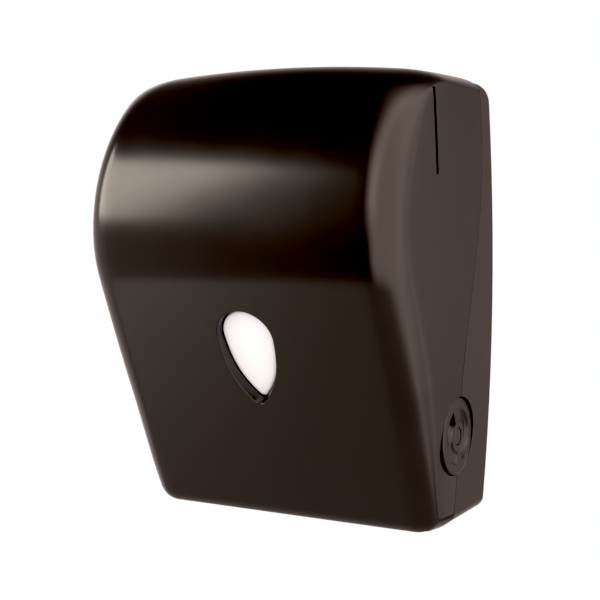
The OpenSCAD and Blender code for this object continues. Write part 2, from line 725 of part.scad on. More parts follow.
// Pinch roller on its bail
pinch_dist = drum_r + band_t + paper_gap + pinch_r;
pinch_y = drum_y - pinch_dist * cos(pinch_turn);
pinch_z = drum_z + pinch_dist * sin(pinch_turn);
bail_x = cap_x + side_gap;
bail_t = 3.5;
bail_boss = 3;
sleeve_places = [-1, 0, 1] * drum_len / 3;
sleeve_len = 50;
module pinch_bail() color(inner_colour) difference() {
  union() {
    bar(bail_y, bail_z, pinch_shaft_r, -frame_x - frame_t, frame_x + frame_t);
    for (x = [-bail_x - bail_t, bail_x])
      across(x, x + bail_t) hull() {
        translate([bail_y, bail_z]) circle(pinch_shaft_r + bail_boss);
        translate([pinch_y, pinch_z]) circle(pinch_shaft_r + bail_boss);
      }
  }
  bar(pinch_y, pinch_z, pinch_shaft_r + run_gap, -far, far);
}
module pinch_shaft() color(steel_colour)
  bar(pinch_y, pinch_z, pinch_shaft_r, -bail_x - bail_t - overcut, bail_x + bail_t + overcut);
module pinch_sleeves() color(rubber_colour) difference() {
  for (x = sleeve_places) bar(pinch_y, pinch_z, pinch_r, x - sleeve_len / 2, x + sleeve_len / 2);
  bar(pinch_y, pinch_z, pinch_shaft_r + seat_gap, -far, far);
}
module pinch_spring() translate([bail_x + bail_t + wire_r + side_gap, bail_y, bail_z]) rotate([0, 90, 0])
  tube(small_path(small_r(pinch_shaft_r)), wire_r);
module pinch_spring_right() color(steel_colour) pinch_spring();
module pinch_spring_left() color(steel_colour) left() pinch_spring();

// Paper path: a curved chute in front of the drum and a guide behind the exit
chute_r = drum_r + chute_gap;
chute_from = -20;
chute_to = 75;
chute_steps = 24;
chute_tail_z = shell_base + wall;
chute_half = frame_x - side_gap;
function chute_point(r, t) = [drum_y - r * cos(t), drum_z - r * sin(t)];
function chute_arc(r) = [for (k = [0:chute_steps])
  chute_point(r, chute_from + (chute_to - chute_from) * k / chute_steps)];
chute_end = chute_point(chute_r, chute_to)[0];
module paper_chute() color(inner_colour) across(-chute_half, chute_half) {
  outer = chute_arc(chute_r + chute_t);
  polygon(concat(chute_arc(chute_r),
    [[chute_end, chute_tail_z], [chute_end - chute_t, chute_tail_z]],
    [for (k = [chute_steps:-1:0]) outer[k]]));
}
blade_room = 10;
guide_top = drum_z - drum_r - blade_room;
module exit_guide() color(inner_colour)
  box([-chute_half, -guide_out, shell_base + wall], [chute_half, -guide_out + chute_t, guide_top]);

// Cover hinge at the foot, its axis at the centre of the cover's rear corner
hinge_y = -seam_low - seam_r;
hinge_z = seam_foot_z;
lug_gap = 0.5;
base_lug_x = frame_x + frame_t + lug_gap;
cover_lug_x = base_lug_x + base_lug_t + lug_gap;
pin_end = cover_lug_x + cover_lug_t;
base_foot_out = 20;
base_foot_h = 8;
base_step_y = -seam_low + 2 * seam_gap;
module hinge_base() difference() {
  union() {
    bar(hinge_y, hinge_z, lug_r, base_lug_x, base_lug_x + base_lug_t);
    box([base_lug_x, hinge_y, hinge_z - lug_r / 2],
      [base_lug_x + base_lug_t, base_step_y, hinge_z + lug_r / 2]);
    box([base_lug_x, base_step_y, shell_base + wall],
      [base_lug_x + base_lug_t, -base_foot_out, shell_base + wall + base_foot_h]);
  }
  bar(hinge_y, hinge_z, hinge_r + seat_gap, base_lug_x - overcut, base_lug_x + base_lug_t + overcut);
}
module hinge_base_right() color(inner_colour) hinge_base();
module hinge_base_left() color(inner_colour) left() hinge_base();
module hinge_pin_right() color(steel_colour) bar(hinge_y, hinge_z, hinge_r, base_lug_x, pin_end);
module hinge_pin_left() color(steel_colour) left() hinge_pin_right();
lug_boss_r = 4;
front_boss = [-6, 26];
rear_boss = [4, 20];
lug_bosses = [for (b = [front_boss, rear_boss]) [hinge_y, hinge_z] + b];
lug_seat = 0.8;
// The space outside the cover's rounded lower edge, which the lugs keep out of
module lower_edge() {
  edge_x = half_w(foot_z, hinge_y - lug_r) - foot_r;
  difference() {
    box([edge_x, -far, base_z], [far, far, foot_z]);
    translate([edge_x, far, foot_z]) rotate([90, 0, 0])
      cylinder(r = foot_r - wall - lug_seat, h = 2 * far);
  }
}
module cover_lug() difference() {
  union() {
    across(cover_lug_x, cover_lug_x + cover_lug_t) hull() {
      translate([hinge_y, hinge_z]) circle(lug_r);
      for (b = lug_bosses) translate(b) circle(lug_boss_r);
    }
    for (b = lug_bosses)
      bar(b[0], b[1], lug_boss_r, cover_lug_x, half_w(b[1], b[0]) - wall - lug_seat);
  }
  bar(hinge_y, hinge_z, hinge_r + run_gap, cover_lug_x - overcut, pin_end + overcut);
  lower_edge();
}
module cover_lug_right() color(inner_colour) cover_lug();
module cover_lug_left() color(inner_colour) left() cover_lug();

// Lock at the top: a barrel in the cover with a tongue that turns behind a strike on the rear shell
lock_y = -lock_out;
lock_proud = 1;
lock_drop = 0.5;
lock_top = top_z + lock_proud;
lock_seat = top_z - wall - lock_drop;
lock_sleeve = 4;
lock_sleeve_h = 14;
tongue_t = 3;
tongue_w = 10;
strike_t = 2;
strike_half = 14;
strike_drop = 9;
tongue_top = shell_top - wall - strike_drop - overcut;
tongue_end = 4;
module lock_housing() color(steel_colour) translate([0, lock_y, lock_seat - lock_sleeve_h]) difference() {
  cylinder(r = lock_r + lock_sleeve, h = lock_sleeve_h);
  translate([0, 0, -overcut]) cylinder(r = lock_r + run_gap, h = lock_sleeve_h + 2 * overcut);
}
keyway = [2, 9, 4];
module lock_barrel() color(steel_colour) translate([0, lock_y, 0]) difference() {
  translate([0, 0, tongue_top]) cylinder(r = lock_r, h = lock_top - tongue_top);
  box([-keyway[0] / 2, -keyway[1] / 2, lock_top - keyway[2]],
    [keyway[0] / 2, keyway[1] / 2, lock_top + overcut]);
}
module lock_tongue() color(steel_colour) translate([0, lock_y, 0]) {
  box([-lock_r, -tongue_w / 2, tongue_top - tongue_t], [tongue_reach, tongue_w / 2, tongue_top]);
  box([tongue_reach - tongue_end, -tongue_w / 2, tongue_top],
    [tongue_reach, tongue_w / 2, tongue_top + tongue_up]);
}
strike_y = -flange_out - 2 * strike_t;
module lock_strike() color(steel_colour) {
  under = shell_top - wall;
  box([-strike_half, strike_y, under - strike_t], [strike_half, -seam_top - strike_t, under]);
  box([-strike_half, strike_y, under - strike_drop], [strike_half, strike_y + strike_t, under - strike_t]);
}

// Drop-shaped badge in its recess on the straight lower front
drop_z = base_z + drop_up;
drop_steps = [0, 0.35, 0.65, 0.87, 1];
drop_bow = 5;
function drop_at(k) = drop_r + (drop_tip_r - drop_r) * k + drop_bow * sin(180 * k);
module drop(grow) hull() for (k = drop_steps)
  translate([0, -drop_len * k]) circle(drop_at(k) + grow);
module on_front() translate([0, front_y(drop_z), drop_z]) rotate([90 + front_lean, 0, 0]) children();
bezel_t = 2;
badge_play = 0.5;
module badge_bezel() color(cover_colour) on_front() {
  floor_z = -badge_recess - badge_t - bezel_t;
  translate([0, 0, floor_z]) linear_extrude(bezel_t) drop(bezel_t);
  translate([0, 0, floor_z + bezel_t]) linear_extrude(badge_recess + badge_t - wall - 2 * side_gap)
    difference() {
      drop(bezel_t);
      drop(0);
    }
}
module badge() color(white_colour) on_front()
  translate([0, 0, -badge_recess - badge_t]) linear_extrude(badge_t) drop(-badge_play);

// Front cover: the housing's form in front of the seam, hollow, with its openings
sight_z = base_z + sight_up;
sight_y = -sight_out;
exit_margin = 6;
exit_front = front_y(base_z) + exit_margin;
module sight_slot() {
  across(-far, far) {
    translate([sight_y - sight_w / 2, sight_z + sight_w / 2]) square([sight_w, sight_len - sight_w]);
    for (z = [sight_w / 2, sight_len - sight_w / 2])
      translate([sight_y, sight_z + z]) circle(sight_w / 2);
  }
}
// The rim under the cover's rear top edge that closes the step down to the rear shell
module rear_rim() difference() {
  box([-far, -seam_top - wall, shell_top - shell_corner], [far, -seam_top, top_z]);
  translate([0, overcut, 0]) shell_block(-seam_gap, seam_low);
}
module front_cover() color(cover_colour) difference() {
  intersection() {
    housing_form(0);
    across(-far, far) cover_zone();
  }
  difference() {
    housing_form(wall);
    rear_rim();
  }
  knob_opening();
  sight_slot();
  box([-exit_half, exit_front, base_z - overcut], [exit_half, 0, foot_z]);
  translate([0, lock_y, lock_seat - overcut])
    cylinder(r = lock_r + side_gap, h = lock_top - lock_seat + overcut);
  on_front() translate([0, 0, -badge_recess]) linear_extrude(2 * badge_recess) drop(0);
}

// Roll arms: sprung arms on vertical pins, each with a hub that plugs into the roll's core
hub_face = roll_w / 2;
hub_flange_t = 3.2;
hub_boss_t = 1.5;
hub_boss_r = 8;
hub_end = hub_face - plug_len;
plug_draft = 2;
arm_face = hub_face + hub_flange_t + side_gap + hub_boss_t;
arm_pin_x = arm_face + arm_t / 2;
arm_pin_y = -arm_pin_out;
knuckle_wall = 4;
knuckle_lap = 3.7;
arm_spring_play = 2;
knuckle_r = arm_pin_r + knuckle_wall;
knuckle_half = arm_h / 2 + knuckle_lap;
knuckle_top = knuckle_half - small_len - 4 * wire_r - arm_spring_play;
ear_t = 4;
ear_low = knuckle_half + side_gap;
arm_base_t = 3;
arm_base_half = 11;
ear_half = 8;
module arm_base() difference() {
  union() {
    box([arm_pin_x - arm_base_half, -wall - arm_base_t, roll_z - ear_low - ear_t],
      [arm_pin_x + arm_base_half, -wall, roll_z + ear_low + ear_t]);
    for (z = [roll_z - ear_low - ear_t, roll_z + ear_low])
      box([arm_pin_x - ear_half, arm_pin_y - ear_half, z], [arm_pin_x + ear_half, -wall, z + ear_t]);
  }
  translate([arm_pin_x, arm_pin_y, roll_z - far]) cylinder(r = arm_pin_r + seat_gap, h = 2 * far);
}
module arm_base_right() color(inner_colour) arm_base();
module arm_base_left() color(inner_colour) left() arm_base();
module arm_pin_right() color(steel_colour)
  translate([arm_pin_x, arm_pin_y, roll_z - ear_low - ear_t])
    cylinder(r = arm_pin_r, h = 2 * (ear_low + ear_t));
module arm_pin_left() color(steel_colour) left() arm_pin_right();
arm_lap = 1;
arm_start = arm_pin_y - knuckle_r + arm_lap;
module roll_arm() difference() {
  union() {
    translate([arm_pin_x, arm_pin_y, roll_z - knuckle_half])
      cylinder(r = knuckle_r, h = knuckle_half + knuckle_top);
    across(arm_face, arm_face + arm_t) {
      translate([roll_y, roll_z - arm_h / 2]) square([arm_start - roll_y, arm_h]);
      translate([roll_y, roll_z]) circle(arm_h / 2);
    }
    bar(roll_y, roll_z, hub_boss_r, hub_face + hub_flange_t + side_gap, arm_face);
    bar(roll_y, roll_z, hub_pin_r, hub_end - side_gap, arm_face);
  }
  translate([arm_pin_x, arm_pin_y, roll_z - far]) cylinder(r = arm_pin_r + run_gap, h = 2 * far);
}
module roll_arm_right() color(white_colour) roll_arm();
module roll_arm_left() color(white_colour) left() roll_arm();
module arm_spring() translate([arm_pin_x, arm_pin_y, roll_z + knuckle_top + wire_r + side_gap])
  tube(small_path(small_r(arm_pin_r)), wire_r);
module arm_spring_right() color(steel_colour) arm_spring();
module arm_spring_left() color(steel_colour) left() arm_spring();
module roll_hub() translate([0, roll_y, roll_z]) rotate([0, 90, 0]) rotate_extrude() polygon([
  [hub_pin_r + run_gap, hub_end], [plug_r - plug_draft, hub_end], [plug_r, hub_face], [hub_r, hub_face],
  [hub_r, hub_face + hub_flange_t], [hub_pin_r + run_gap, hub_face + hub_flange_t]]);
module roll_hub_right() color(white_colour) roll_hub();
module roll_hub_left() color(white_colour) left() roll_hub();
hub_cap_t = 2;
hub_cap_lip = 3;
hub_cap_r = hub_pin_r + hub_cap_lip;
module hub_cap_right() color(inner_colour)
  bar(roll_y, roll_z, hub_cap_r, hub_end - side_gap - hub_cap_t, hub_end - side_gap);
module hub_cap_left() color(inner_colour) left() hub_cap_right();

rear_shell();
left_frame();
right_frame();
frame_screws();
drum_bush();
one_way_bearing();
cam_plate();
spring_post();
paper_chute();
exit_guide();
hinge_base_left();
hinge_base_right();
hinge_pin_left();
hinge_pin_right();
lock_strike();
arm_base_left();
arm_base_right();
arm_pin_left();
arm_pin_right();
front_cover();
cover_lug_left();
cover_lug_right();
badge_bezel();
badge();
lock_housing();
lock_barrel();
lock_tongue();
drum_shaft();
drum_slot_half();
drum_plain_half();
drum_cap_left();
drum_cap_right();
grip_bands();
crank_disc();
crank_pin();
drive_spring();
hand_knob();
knob_cap();
knife_rod();
knife_bar();
knife_blade();
knife_spring();
cam_arm();
cam_roller();
pinch_bail();
pinch_shaft();
pinch_sleeves();
pinch_spring_left();
pinch_spring_right();
roll_arm_left();
roll_arm_right();
arm_spring_left();
arm_spring_right();
roll_hub_left();
roll_hub_right();
hub_cap_left();
hub_cap_right();
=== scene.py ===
"""Dress the towel dispenser's frame: its mouldings, knob, badge, drum, roll arms, springs and studio."""

import json
import logging
import math
from dataclasses import dataclass
from enum import Enum
from typing import Callable, Sequence

import bmesh
import bpy
from bmesh.types import BMesh
from bpy.types import Material, NodeSocket, Object, ShaderNode, ShaderNodeTree
from mathutils import Matrix, Quaternion, Vector


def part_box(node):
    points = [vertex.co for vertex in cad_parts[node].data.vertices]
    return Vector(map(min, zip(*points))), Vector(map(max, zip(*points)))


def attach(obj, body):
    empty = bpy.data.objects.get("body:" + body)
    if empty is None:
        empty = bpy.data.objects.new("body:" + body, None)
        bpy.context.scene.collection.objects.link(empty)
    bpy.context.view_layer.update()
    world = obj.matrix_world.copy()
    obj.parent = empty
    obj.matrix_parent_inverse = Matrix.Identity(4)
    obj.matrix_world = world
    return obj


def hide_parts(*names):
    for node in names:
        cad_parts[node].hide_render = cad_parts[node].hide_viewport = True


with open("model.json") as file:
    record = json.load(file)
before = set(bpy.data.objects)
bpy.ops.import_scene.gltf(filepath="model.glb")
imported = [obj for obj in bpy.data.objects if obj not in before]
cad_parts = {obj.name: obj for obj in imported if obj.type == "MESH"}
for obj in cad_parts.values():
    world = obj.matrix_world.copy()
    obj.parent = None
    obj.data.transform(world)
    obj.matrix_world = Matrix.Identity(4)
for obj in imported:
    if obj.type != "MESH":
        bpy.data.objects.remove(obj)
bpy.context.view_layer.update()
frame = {"nodes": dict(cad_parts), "record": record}
RECORD = frame["record"]
MM = 0.001
MERGE = 0.002 * MM
DRAWN_OUT = (0.03, 1, 1)
SHARP = math.radians(35)
ROUNDED = math.radians(50)
FLAT = math.radians(0.3)
LOG = logging.getLogger("towel_dispenser")

Place = Callable[[int, int], Vector]
Keep = Callable[[int, int], bool]
Pair = tuple[float, float]
Profile = Sequence[Pair]
Point = tuple[float, float, float]
Colour = tuple[float, float, float]
Wall = tuple[tuple[str, float, float, float, float], ...]


def smooth_step(share: float) -> float:
    """Ease a share between 0 and 1 in and out."""
    share = min(1.0, max(0.0, share))
    return share * share * (3 - 2 * share)


def blended(first: Pair, second: Pair, share: float) -> Pair:
    """Go a share of the way from one pair of sizes to another."""
    return first[0] + (second[0] - first[0]) * share, first[1] + (second[1] - first[1]) * share


def between(low: float, high: float, steps: int) -> list[float]:
    """List evenly spaced values, both ends among them."""
    return [low + (high - low) * k / steps for k in range(steps + 1)]


def lofted(columns: int, rows: int, place: Place, keep: Keep | None = None) -> BMesh:
    """Lay a grid over a surface.

    Args:
        columns: Number of faces along the grid.
        rows: Number of faces across it.
        place: Gives the point of a column and a row.
        keep: Says whether the face that starts at a column and a row stays; all do without it.

    Returns:
        The laid grid, with the points that meet merged.
    """
    bm = bmesh.new()
    bmesh.ops.create_grid(bm, x_segments=columns, y_segments=rows, size=1.0)
    if keep:
        spare = []
        for face in bm.faces:
            middle = face.calc_center_median()
            if not keep(int((middle.x + 1) / 2 * columns), int((middle.y + 1) / 2 * rows)):
                spare.append(face)
        bmesh.ops.delete(bm, geom=spare, context="FACES")
    for vert in bm.verts:
        vert.co = place(round((vert.co.x + 1) / 2 * columns), round((vert.co.y + 1) / 2 * rows))
    bmesh.ops.remove_doubles(bm, verts=bm.verts, dist=MERGE)
    return bm


def outward(bm: BMesh) -> BMesh:
    """Turn a shape's faces to the outside, also where it is an open shell.

    Args:
        bm: The shape.

    Returns:
        The same shape.
    """
    bmesh.ops.recalc_face_normals(bm, faces=bm.faces)
    middle = sum((face.calc_center_median() for face in bm.faces), Vector()) / len(bm.faces)
    facing = sum(face.normal.dot(face.calc_center_median() - middle) * face.calc_area() for face in bm.faces)
    if facing < 0:
        bmesh.ops.reverse_faces(bm, faces=bm.faces)
    return bm


def capped(bm: BMesh) -> BMesh:
    """Close every open rim of a shape with a face and turn its faces outwards."""
    bmesh.ops.holes_fill(bm, edges=[edge for edge in bm.edges if edge.is_boundary], sides=0)
    return outward(bm)


class Axis(Enum):
    """How a lathe stands."""

    ACROSS = (1, 0, 0)
    UP = (0, 0, 1)


def turned(profile: Profile, centre: Vector, axis: Axis = Axis.ACROSS, steps: int = 64) -> BMesh:
    """Turn a profile on a lathe.

    Args:
        profile: Radius and place along the axis of each point, from end to end.
        centre: A point of the axis.
        axis: How the lathe stands.
        steps: Number of faces round.

    Returns:
        The turned shape, closed where its profile reaches the axis.
    """
    bm = bmesh.new()
    if axis is Axis.ACROSS:
        points = [Vector((place, centre.y + radius, centre.z)) for radius, place in profile]
    else:
        points = [Vector((centre.x + radius, centre.y, place)) for radius, place in profile]
    verts = [bm.verts.new(point) for point in points]
    edges = [bm.edges.new(pair) for pair in zip(verts, verts[1:])]
    bmesh.ops.spin(bm, geom=verts + edges, cent=centre, axis=axis.value, angle=math.tau, steps=steps,
                   use_merge=True)
    bmesh.ops.remove_doubles(bm, verts=bm.verts, dist=MERGE)
    bmesh.ops.recalc_face_normals(bm, faces=bm.faces)
    return bm


def plug(radius: float, ends: Pair, centre: Vector, axis: Axis = Axis.ACROSS, steps: int = 64) -> BMesh:
    """Make a plain round bar between two places along its axis."""
    low, high = ends
    return turned([(0, low), (radius, low), (radius, high), (0, high)], centre, axis, steps)


def arc(centre: Pair, radii: Pair, start: float, stop: float, steps: int) -> list[Pair]:
    """List the points of a round or oval arc in a profile, between two angles in degrees."""
    turns = [math.radians(turn) for turn in between(start, stop, steps)]
    return [(centre[0] + radii[0] * math.cos(turn), centre[1] + radii[1] * math.sin(turn)) for turn in turns]


def slab(low: Vector, high: Vector, edge: float, axes: str = "XYZ", segments: int = 3) -> BMesh:
    """Make a block with some of its edges rounded.

    Args:
        low: Its lowest corner.
        high: Its highest corner.
        edge: Radius of the edges.
        axes: Letters of the axes whose edges are rounded.
        segments: Number of faces round an edge.

    Returns:
        The closed block.
    """
    bm = bmesh.new()
    size = Matrix.Diagonal((*(high - low), 1))
    bmesh.ops.create_cube(bm, size=1.0, matrix=Matrix.Translation((low + high) / 2) @ size)
    picked = []
    for line in bm.edges:
        span = line.verts[1].co - line.verts[0].co
        if "XYZ"[max(range(3), key=lambda k: abs(span[k]))] in axes:
            picked.append(line)
    bmesh.ops.bevel(bm, geom=picked, offset=edge, segments=segments, profile=0.5, affect="EDGES", material=-1)
    return outward(bm)


def wire(path: Sequence[Vector], radius: float, sides: int = 10) -> BMesh:
    """Draw a round wire along a path, its rings carried along without twist.

    Args:
        path: Points of the wire's middle.
        radius: Half the wire's thickness.
        sides: Number of faces round.

    Returns:
        The wire with closed ends.
    """
    last = len(path) - 1
    ways = [(path[min(k + 1, last)] - path[max(k - 1, 0)]).normalized() for k in range(len(path))]
    normal = ways[0].orthogonal().normalized()
    rings = []
    for way in ways:
        normal = (normal - way * normal.dot(way)).normalized()
        rings.append((normal, way.cross(normal)))

    def place(column: int, row: int) -> Vector:
        """Give a point of one ring."""
        turn = math.tau * (column % sides) / sides
        return path[row] + radius * (math.cos(turn) * rings[row][0] + math.sin(turn) * rings[row][1])

    return capped(lofted(sides, last, place))


def raised(name: str, bm: BMesh) -> Object:
    """Turn a bmesh into an object at the origin.

    Args:
        name: Name of the object and of its mesh.
        bm: The shape, which is freed.

    Returns:
        The object, linked to the scene.
    """
    mesh = bpy.data.meshes.new(name)
    bm.to_mesh(mesh)
    bm.free()
    piece = bpy.data.objects.new(name, mesh)
    bpy.context.collection.objects.link(piece)
    return piece


def settle(piece: Object) -> None:
    """Apply a piece's modifiers to its mesh."""
    seen = piece.evaluated_get(bpy.context.evaluated_depsgraph_get())
    mesh = bpy.data.meshes.new_from_object(seen)
    piece.modifiers.clear()
    piece.data = mesh


def carve(piece: Object, *tools: BMesh, operation: str = "DIFFERENCE") -> None:
    """Cut closed shapes out of a piece, or join them to it.

    Args:
        piece: The piece that is worked on.
        tools: The closed shapes.
        operation: DIFFERENCE to cut, UNION to join.
    """
    for bm in tools:
        tool = raised("tool", bm)
        cut = piece.modifiers.new("cut", "BOOLEAN")
        cut.object = tool
        cut.operation = operation
        cut.solver = "EXACT"
        settle(piece)
        bpy.data.objects.remove(tool)


def thicken(piece: Object, wall: float, edge: float) -> None:
    """Give an open shell its wall, inwards, and round the sharp edges.

    Args:
        piece: The open shell.
        wall: Thickness of the wall.
        edge: Radius of the edges.
    """
    solid = piece.modifiers.new("wall", "SOLIDIFY")
    solid.thickness = wall
    solid.offset = -1
    solid.use_even_offset = True
    bevel = piece.modifiers.new("edges", "BEVEL")
    bevel.width = edge
    bevel.segments = 2
    bevel.limit_method = "ANGLE"
    bevel.angle_limit = ROUNDED
    bevel.use_clamp_overlap = True
    settle(piece)


class Relief(Enum):
    """How a finish is textured."""

    SPARK = "spark_grain"
    DRAWN = "drawn_lines"


def noise(tree: ShaderNodeTree, where: NodeSocket, detail: float, scale: float = 5.0) -> ShaderNode:
    """Add a noise texture.

    Args:
        tree: The node tree.
        where: The vector that it reads.
        detail: Its detail.
        scale: Its scale, where nothing is linked to it.

    Returns:
        The texture's node.
    """
    node = tree.nodes.new("ShaderNodeTexNoise")
    node.inputs["Scale"].default_value = scale
    node.inputs["Detail"].default_value = detail
    tree.links.new(where, node.inputs["Vector"])
    return node


def ramped(tree: ShaderNodeTree, value: NodeSocket, low: float, high: float, first: float = 0.0,
           last: float = 1.0) -> NodeSocket:
    """Let a number run between two levels while a value goes from low to high.

    Args:
        tree: The node tree.
        value: The value that is read.
        low: Where the run starts.
        high: Where it ends.
        first: The level up to low.
        last: The level from high on.

    Returns:
        The number's socket.
    """
    node = tree.nodes.new("ShaderNodeMapRange")
    for socket, number in (("From Min", low), ("From Max", high), ("To Min", first), ("To Max", last)):
        node.inputs[socket].default_value = number
    tree.links.new(value, node.inputs["Value"])
    return node.outputs["Result"]


def mixed(tree: ShaderNodeTree, share: NodeSocket, first: Colour, second: Colour) -> NodeSocket:
    """Mix two colours by a share.

    Args:
        tree: The node tree.
        share: The share of the second colour.
        first: The first colour.
        second: The second colour.

    Returns:
        The mixed colour's socket.
    """
    node = tree.nodes.new("ShaderNodeMix")
    node.data_type = "RGBA"
    node.inputs["A"].default_value = (*first, 1)
    node.inputs["B"].default_value = (*second, 1)
    tree.links.new(share, node.inputs["Factor"])
    return node.outputs["Result"]


def group_with(name: str, inputs: Sequence[str],
               outputs: Sequence[str]) -> tuple[ShaderNodeTree, ShaderNode, ShaderNode]:
    """Start a shader group whose first input is a vector and whose other sockets are numbers.

    Args:
        name: Name of the group.
        inputs: Names of its inputs.
        outputs: Names of its outputs.

    Returns:
        The group's tree, and its inlet and outlet nodes.
    """
    tree = bpy.data.node_groups.new(name, "ShaderNodeTree")
    for number, socket in enumerate(inputs):
        kind = "NodeSocketFloat" if number else "NodeSocketVector"
        tree.interface.new_socket(socket, in_out="INPUT", socket_type=kind)
    for socket in outputs:
        tree.interface.new_socket(socket, in_out="OUTPUT", socket_type="NodeSocketFloat")
    return tree, tree.nodes.new("NodeGroupInput"), tree.nodes.new("NodeGroupOutput")


def relief_group(relief: Relief) -> ShaderNodeTree:
    """Build, once, the group that gives a relief's height and its drift of tone.

    Args:
        relief: The kind of texture.

    Returns:
        A group with the inputs Vector and Pitch and the outputs Height and Tone.
    """
    known = bpy.data.node_groups.get(relief.value)
    if known:
        return known
    tree, inlet, outlet = group_with(relief.value, ["Vector", "Pitch"], ["Height", "Tone"])
    stretch = tree.nodes.new("ShaderNodeVectorMath")
    stretch.operation = "MULTIPLY"
    stretch.inputs[1].default_value = DRAWN_OUT if relief is Relief.DRAWN else (1, 1, 1)
    tree.links.new(inlet.outputs["Vector"], stretch.inputs[0])
    fine = noise(tree, stretch.outputs["Vector"], detail=2.0)
    tree.links.new(inlet.outputs["Pitch"], fine.inputs["Scale"])
    tree.links.new(fine.outputs["Fac"], outlet.inputs["Height"])
    coarse = noise(tree, stretch.outputs["Vector"], detail=4.0, scale=28.0)
    tree.links.new(ramped(tree, coarse.outputs["Fac"], low=0.35, high=0.65), outlet.inputs["Tone"])
    return tree


def handling_group() -> ShaderNodeTree:
    """Build, once, the group that says where hands have rubbed a surface a little duller.

    Returns:
        A group with the input Vector and the output Mask.
    """
    known = bpy.data.node_groups.get("handling_marks")
    if known:
        return known
    tree, inlet, outlet = group_with("handling_marks", ["Vector"], ["Mask"])
    cloud = noise(tree, inlet.outputs["Vector"], detail=6.0, scale=14.0)
    cloud.inputs["Roughness"].default_value = 0.6
    tree.links.new(ramped(tree, cloud.outputs["Fac"], low=0.4, high=0.7), outlet.inputs["Mask"])
    return tree


@dataclass(frozen=True)
class Finish:
    """One material: its colour, its drift, its gloss and its texture."""

    slot: str
    colour: Colour
    drift: float
    roughness: float
    dulling: float
    relief: Relief
    pitch: float
    depth: float
    metallic: float = 0.0
    tint: Colour = (1.0, 1.0, 1.0)

    def material(self) -> Material:
        """Build the finish's material, once.

        Returns:
            The material, named after its slot.
        """
        known = bpy.data.materials.get(self.slot + "_finish")
        if known:
            return known
        material = bpy.data.materials.new(self.slot + "_finish")
        material.use_nodes = True
        tree = material.node_tree
        shader = tree.nodes["Principled BSDF"]
        shader.inputs["Metallic"].default_value = self.metallic
        shader.inputs["Specular Tint"].default_value = (*self.tint, 1)
        where = tree.nodes.new("ShaderNodeTexCoord")
        grain = tree.nodes.new("ShaderNodeGroup")
        grain.node_tree = relief_group(self.relief)
        grain.inputs["Pitch"].default_value = self.pitch
        marks = tree.nodes.new("ShaderNodeGroup")
        marks.node_tree = handling_group()
        for group in (grain, marks):
            tree.links.new(where.outputs["Object"], group.inputs["Vector"])
        darker = tuple(part * (1 - self.drift) for part in self.colour)
        paler = tuple(part * (1 + self.drift) for part in self.colour)
        tree.links.new(mixed(tree, grain.outputs["Tone"], darker, paler), shader.inputs["Base Color"])
        gloss = ramped(tree, marks.outputs["Mask"], 0, 1, self.roughness, self.roughness + self.dulling)
        tree.links.new(gloss, shader.inputs["Roughness"])
        bump = tree.nodes.new("ShaderNodeBump")
        bump.inputs["Strength"].default_value = 1.0
        bump.inputs["Distance"].default_value = self.depth
        tree.links.new(grain.outputs["Height"], bump.inputs["Height"])
        tree.links.new(bump.outputs["Normal"], shader.inputs["Normal"])
        return material


BROWN = (1.0, 0.95, 0.89)
FINISHES = {finish.slot: finish for finish in (
    Finish("cover_plastic", (0.0054, 0.0036, 0.0028), 0.06, 0.205, 0.03, Relief.SPARK, 2600, 0.010 * MM,
           tint=BROWN),
    Finish("shell_plastic", (0.0066, 0.0043, 0.0033), 0.07, 0.32, 0.04, Relief.SPARK, 2200, 0.016 * MM,
           tint=BROWN),
    Finish("knob_plastic", (0.0066, 0.0043, 0.0033), 0.07, 0.30, 0.05, Relief.SPARK, 2200, 0.014 * MM,
           tint=BROWN),
    Finish("badge_plastic", (0.84, 0.92, 0.97), 0.01, 0.22, 0.03, Relief.SPARK, 900, 0.004 * MM),
    Finish("frame_plastic", (0.26, 0.27, 0.29), 0.05, 0.42, 0.08, Relief.SPARK, 1800, 0.020 * MM),
    Finish("drum_plastic", (0.52, 0.53, 0.54), 0.04, 0.38, 0.08, Relief.SPARK, 1800, 0.016 * MM),
    Finish("bearing_plastic", (0.76, 0.75, 0.70), 0.04, 0.32, 0.08, Relief.SPARK, 1400, 0.012 * MM),
    Finish("steel", (0.60, 0.61, 0.63), 0.08, 0.24, 0.12, Relief.DRAWN, 1500, 0.010 * MM, 1.0),
    Finish("lock_metal", (0.74, 0.74, 0.76), 0.04, 0.12, 0.08, Relief.DRAWN, 2400, 0.004 * MM, 1.0),
    Finish("spring_steel", (0.50, 0.51, 0.53), 0.10, 0.22, 0.12, Relief.DRAWN, 1800, 0.006 * MM, 1.0),
    Finish("grip_rubber", (0.017, 0.017, 0.018), 0.15, 0.66, 0.18, Relief.SPARK, 1500, 0.040 * MM),
)}
SLOT_OF = {row["node"]: row["material_slot"] for row in RECORD["subparts"]}
BODY_OF = {node: body for body, nodes in RECORD["behaviour"]["bodies"].items() for node in nodes}


def dressed(piece: Object, *nodes: str) -> Object:
    """Shade a piece, and take its finish and its body from the nodes that it stands for.

    Args:
        piece: The finished piece.
        nodes: The nodes that it replaces; the first gives the finish and the body.

    Returns:
        The same piece.
    """
    finish = FINISHES[SLOT_OF[nodes[0]]]
    piece.data.polygons.foreach_set("use_smooth", [True] * len(piece.data.polygons))
    piece.data.set_sharp_from_angle(angle=SHARP)
    even = piece.modifiers.new("normals", "WEIGHTED_NORMAL")
    even.keep_sharp = True
    settle(piece)
    piece.data.materials.clear()
    piece.data.materials.append(finish.material())
    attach(piece, BODY_OF[nodes[0]])
    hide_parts(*nodes)
    LOG.info("%s rides on %s in %s", piece.name, BODY_OF[nodes[0]], finish.slot)
    return piece


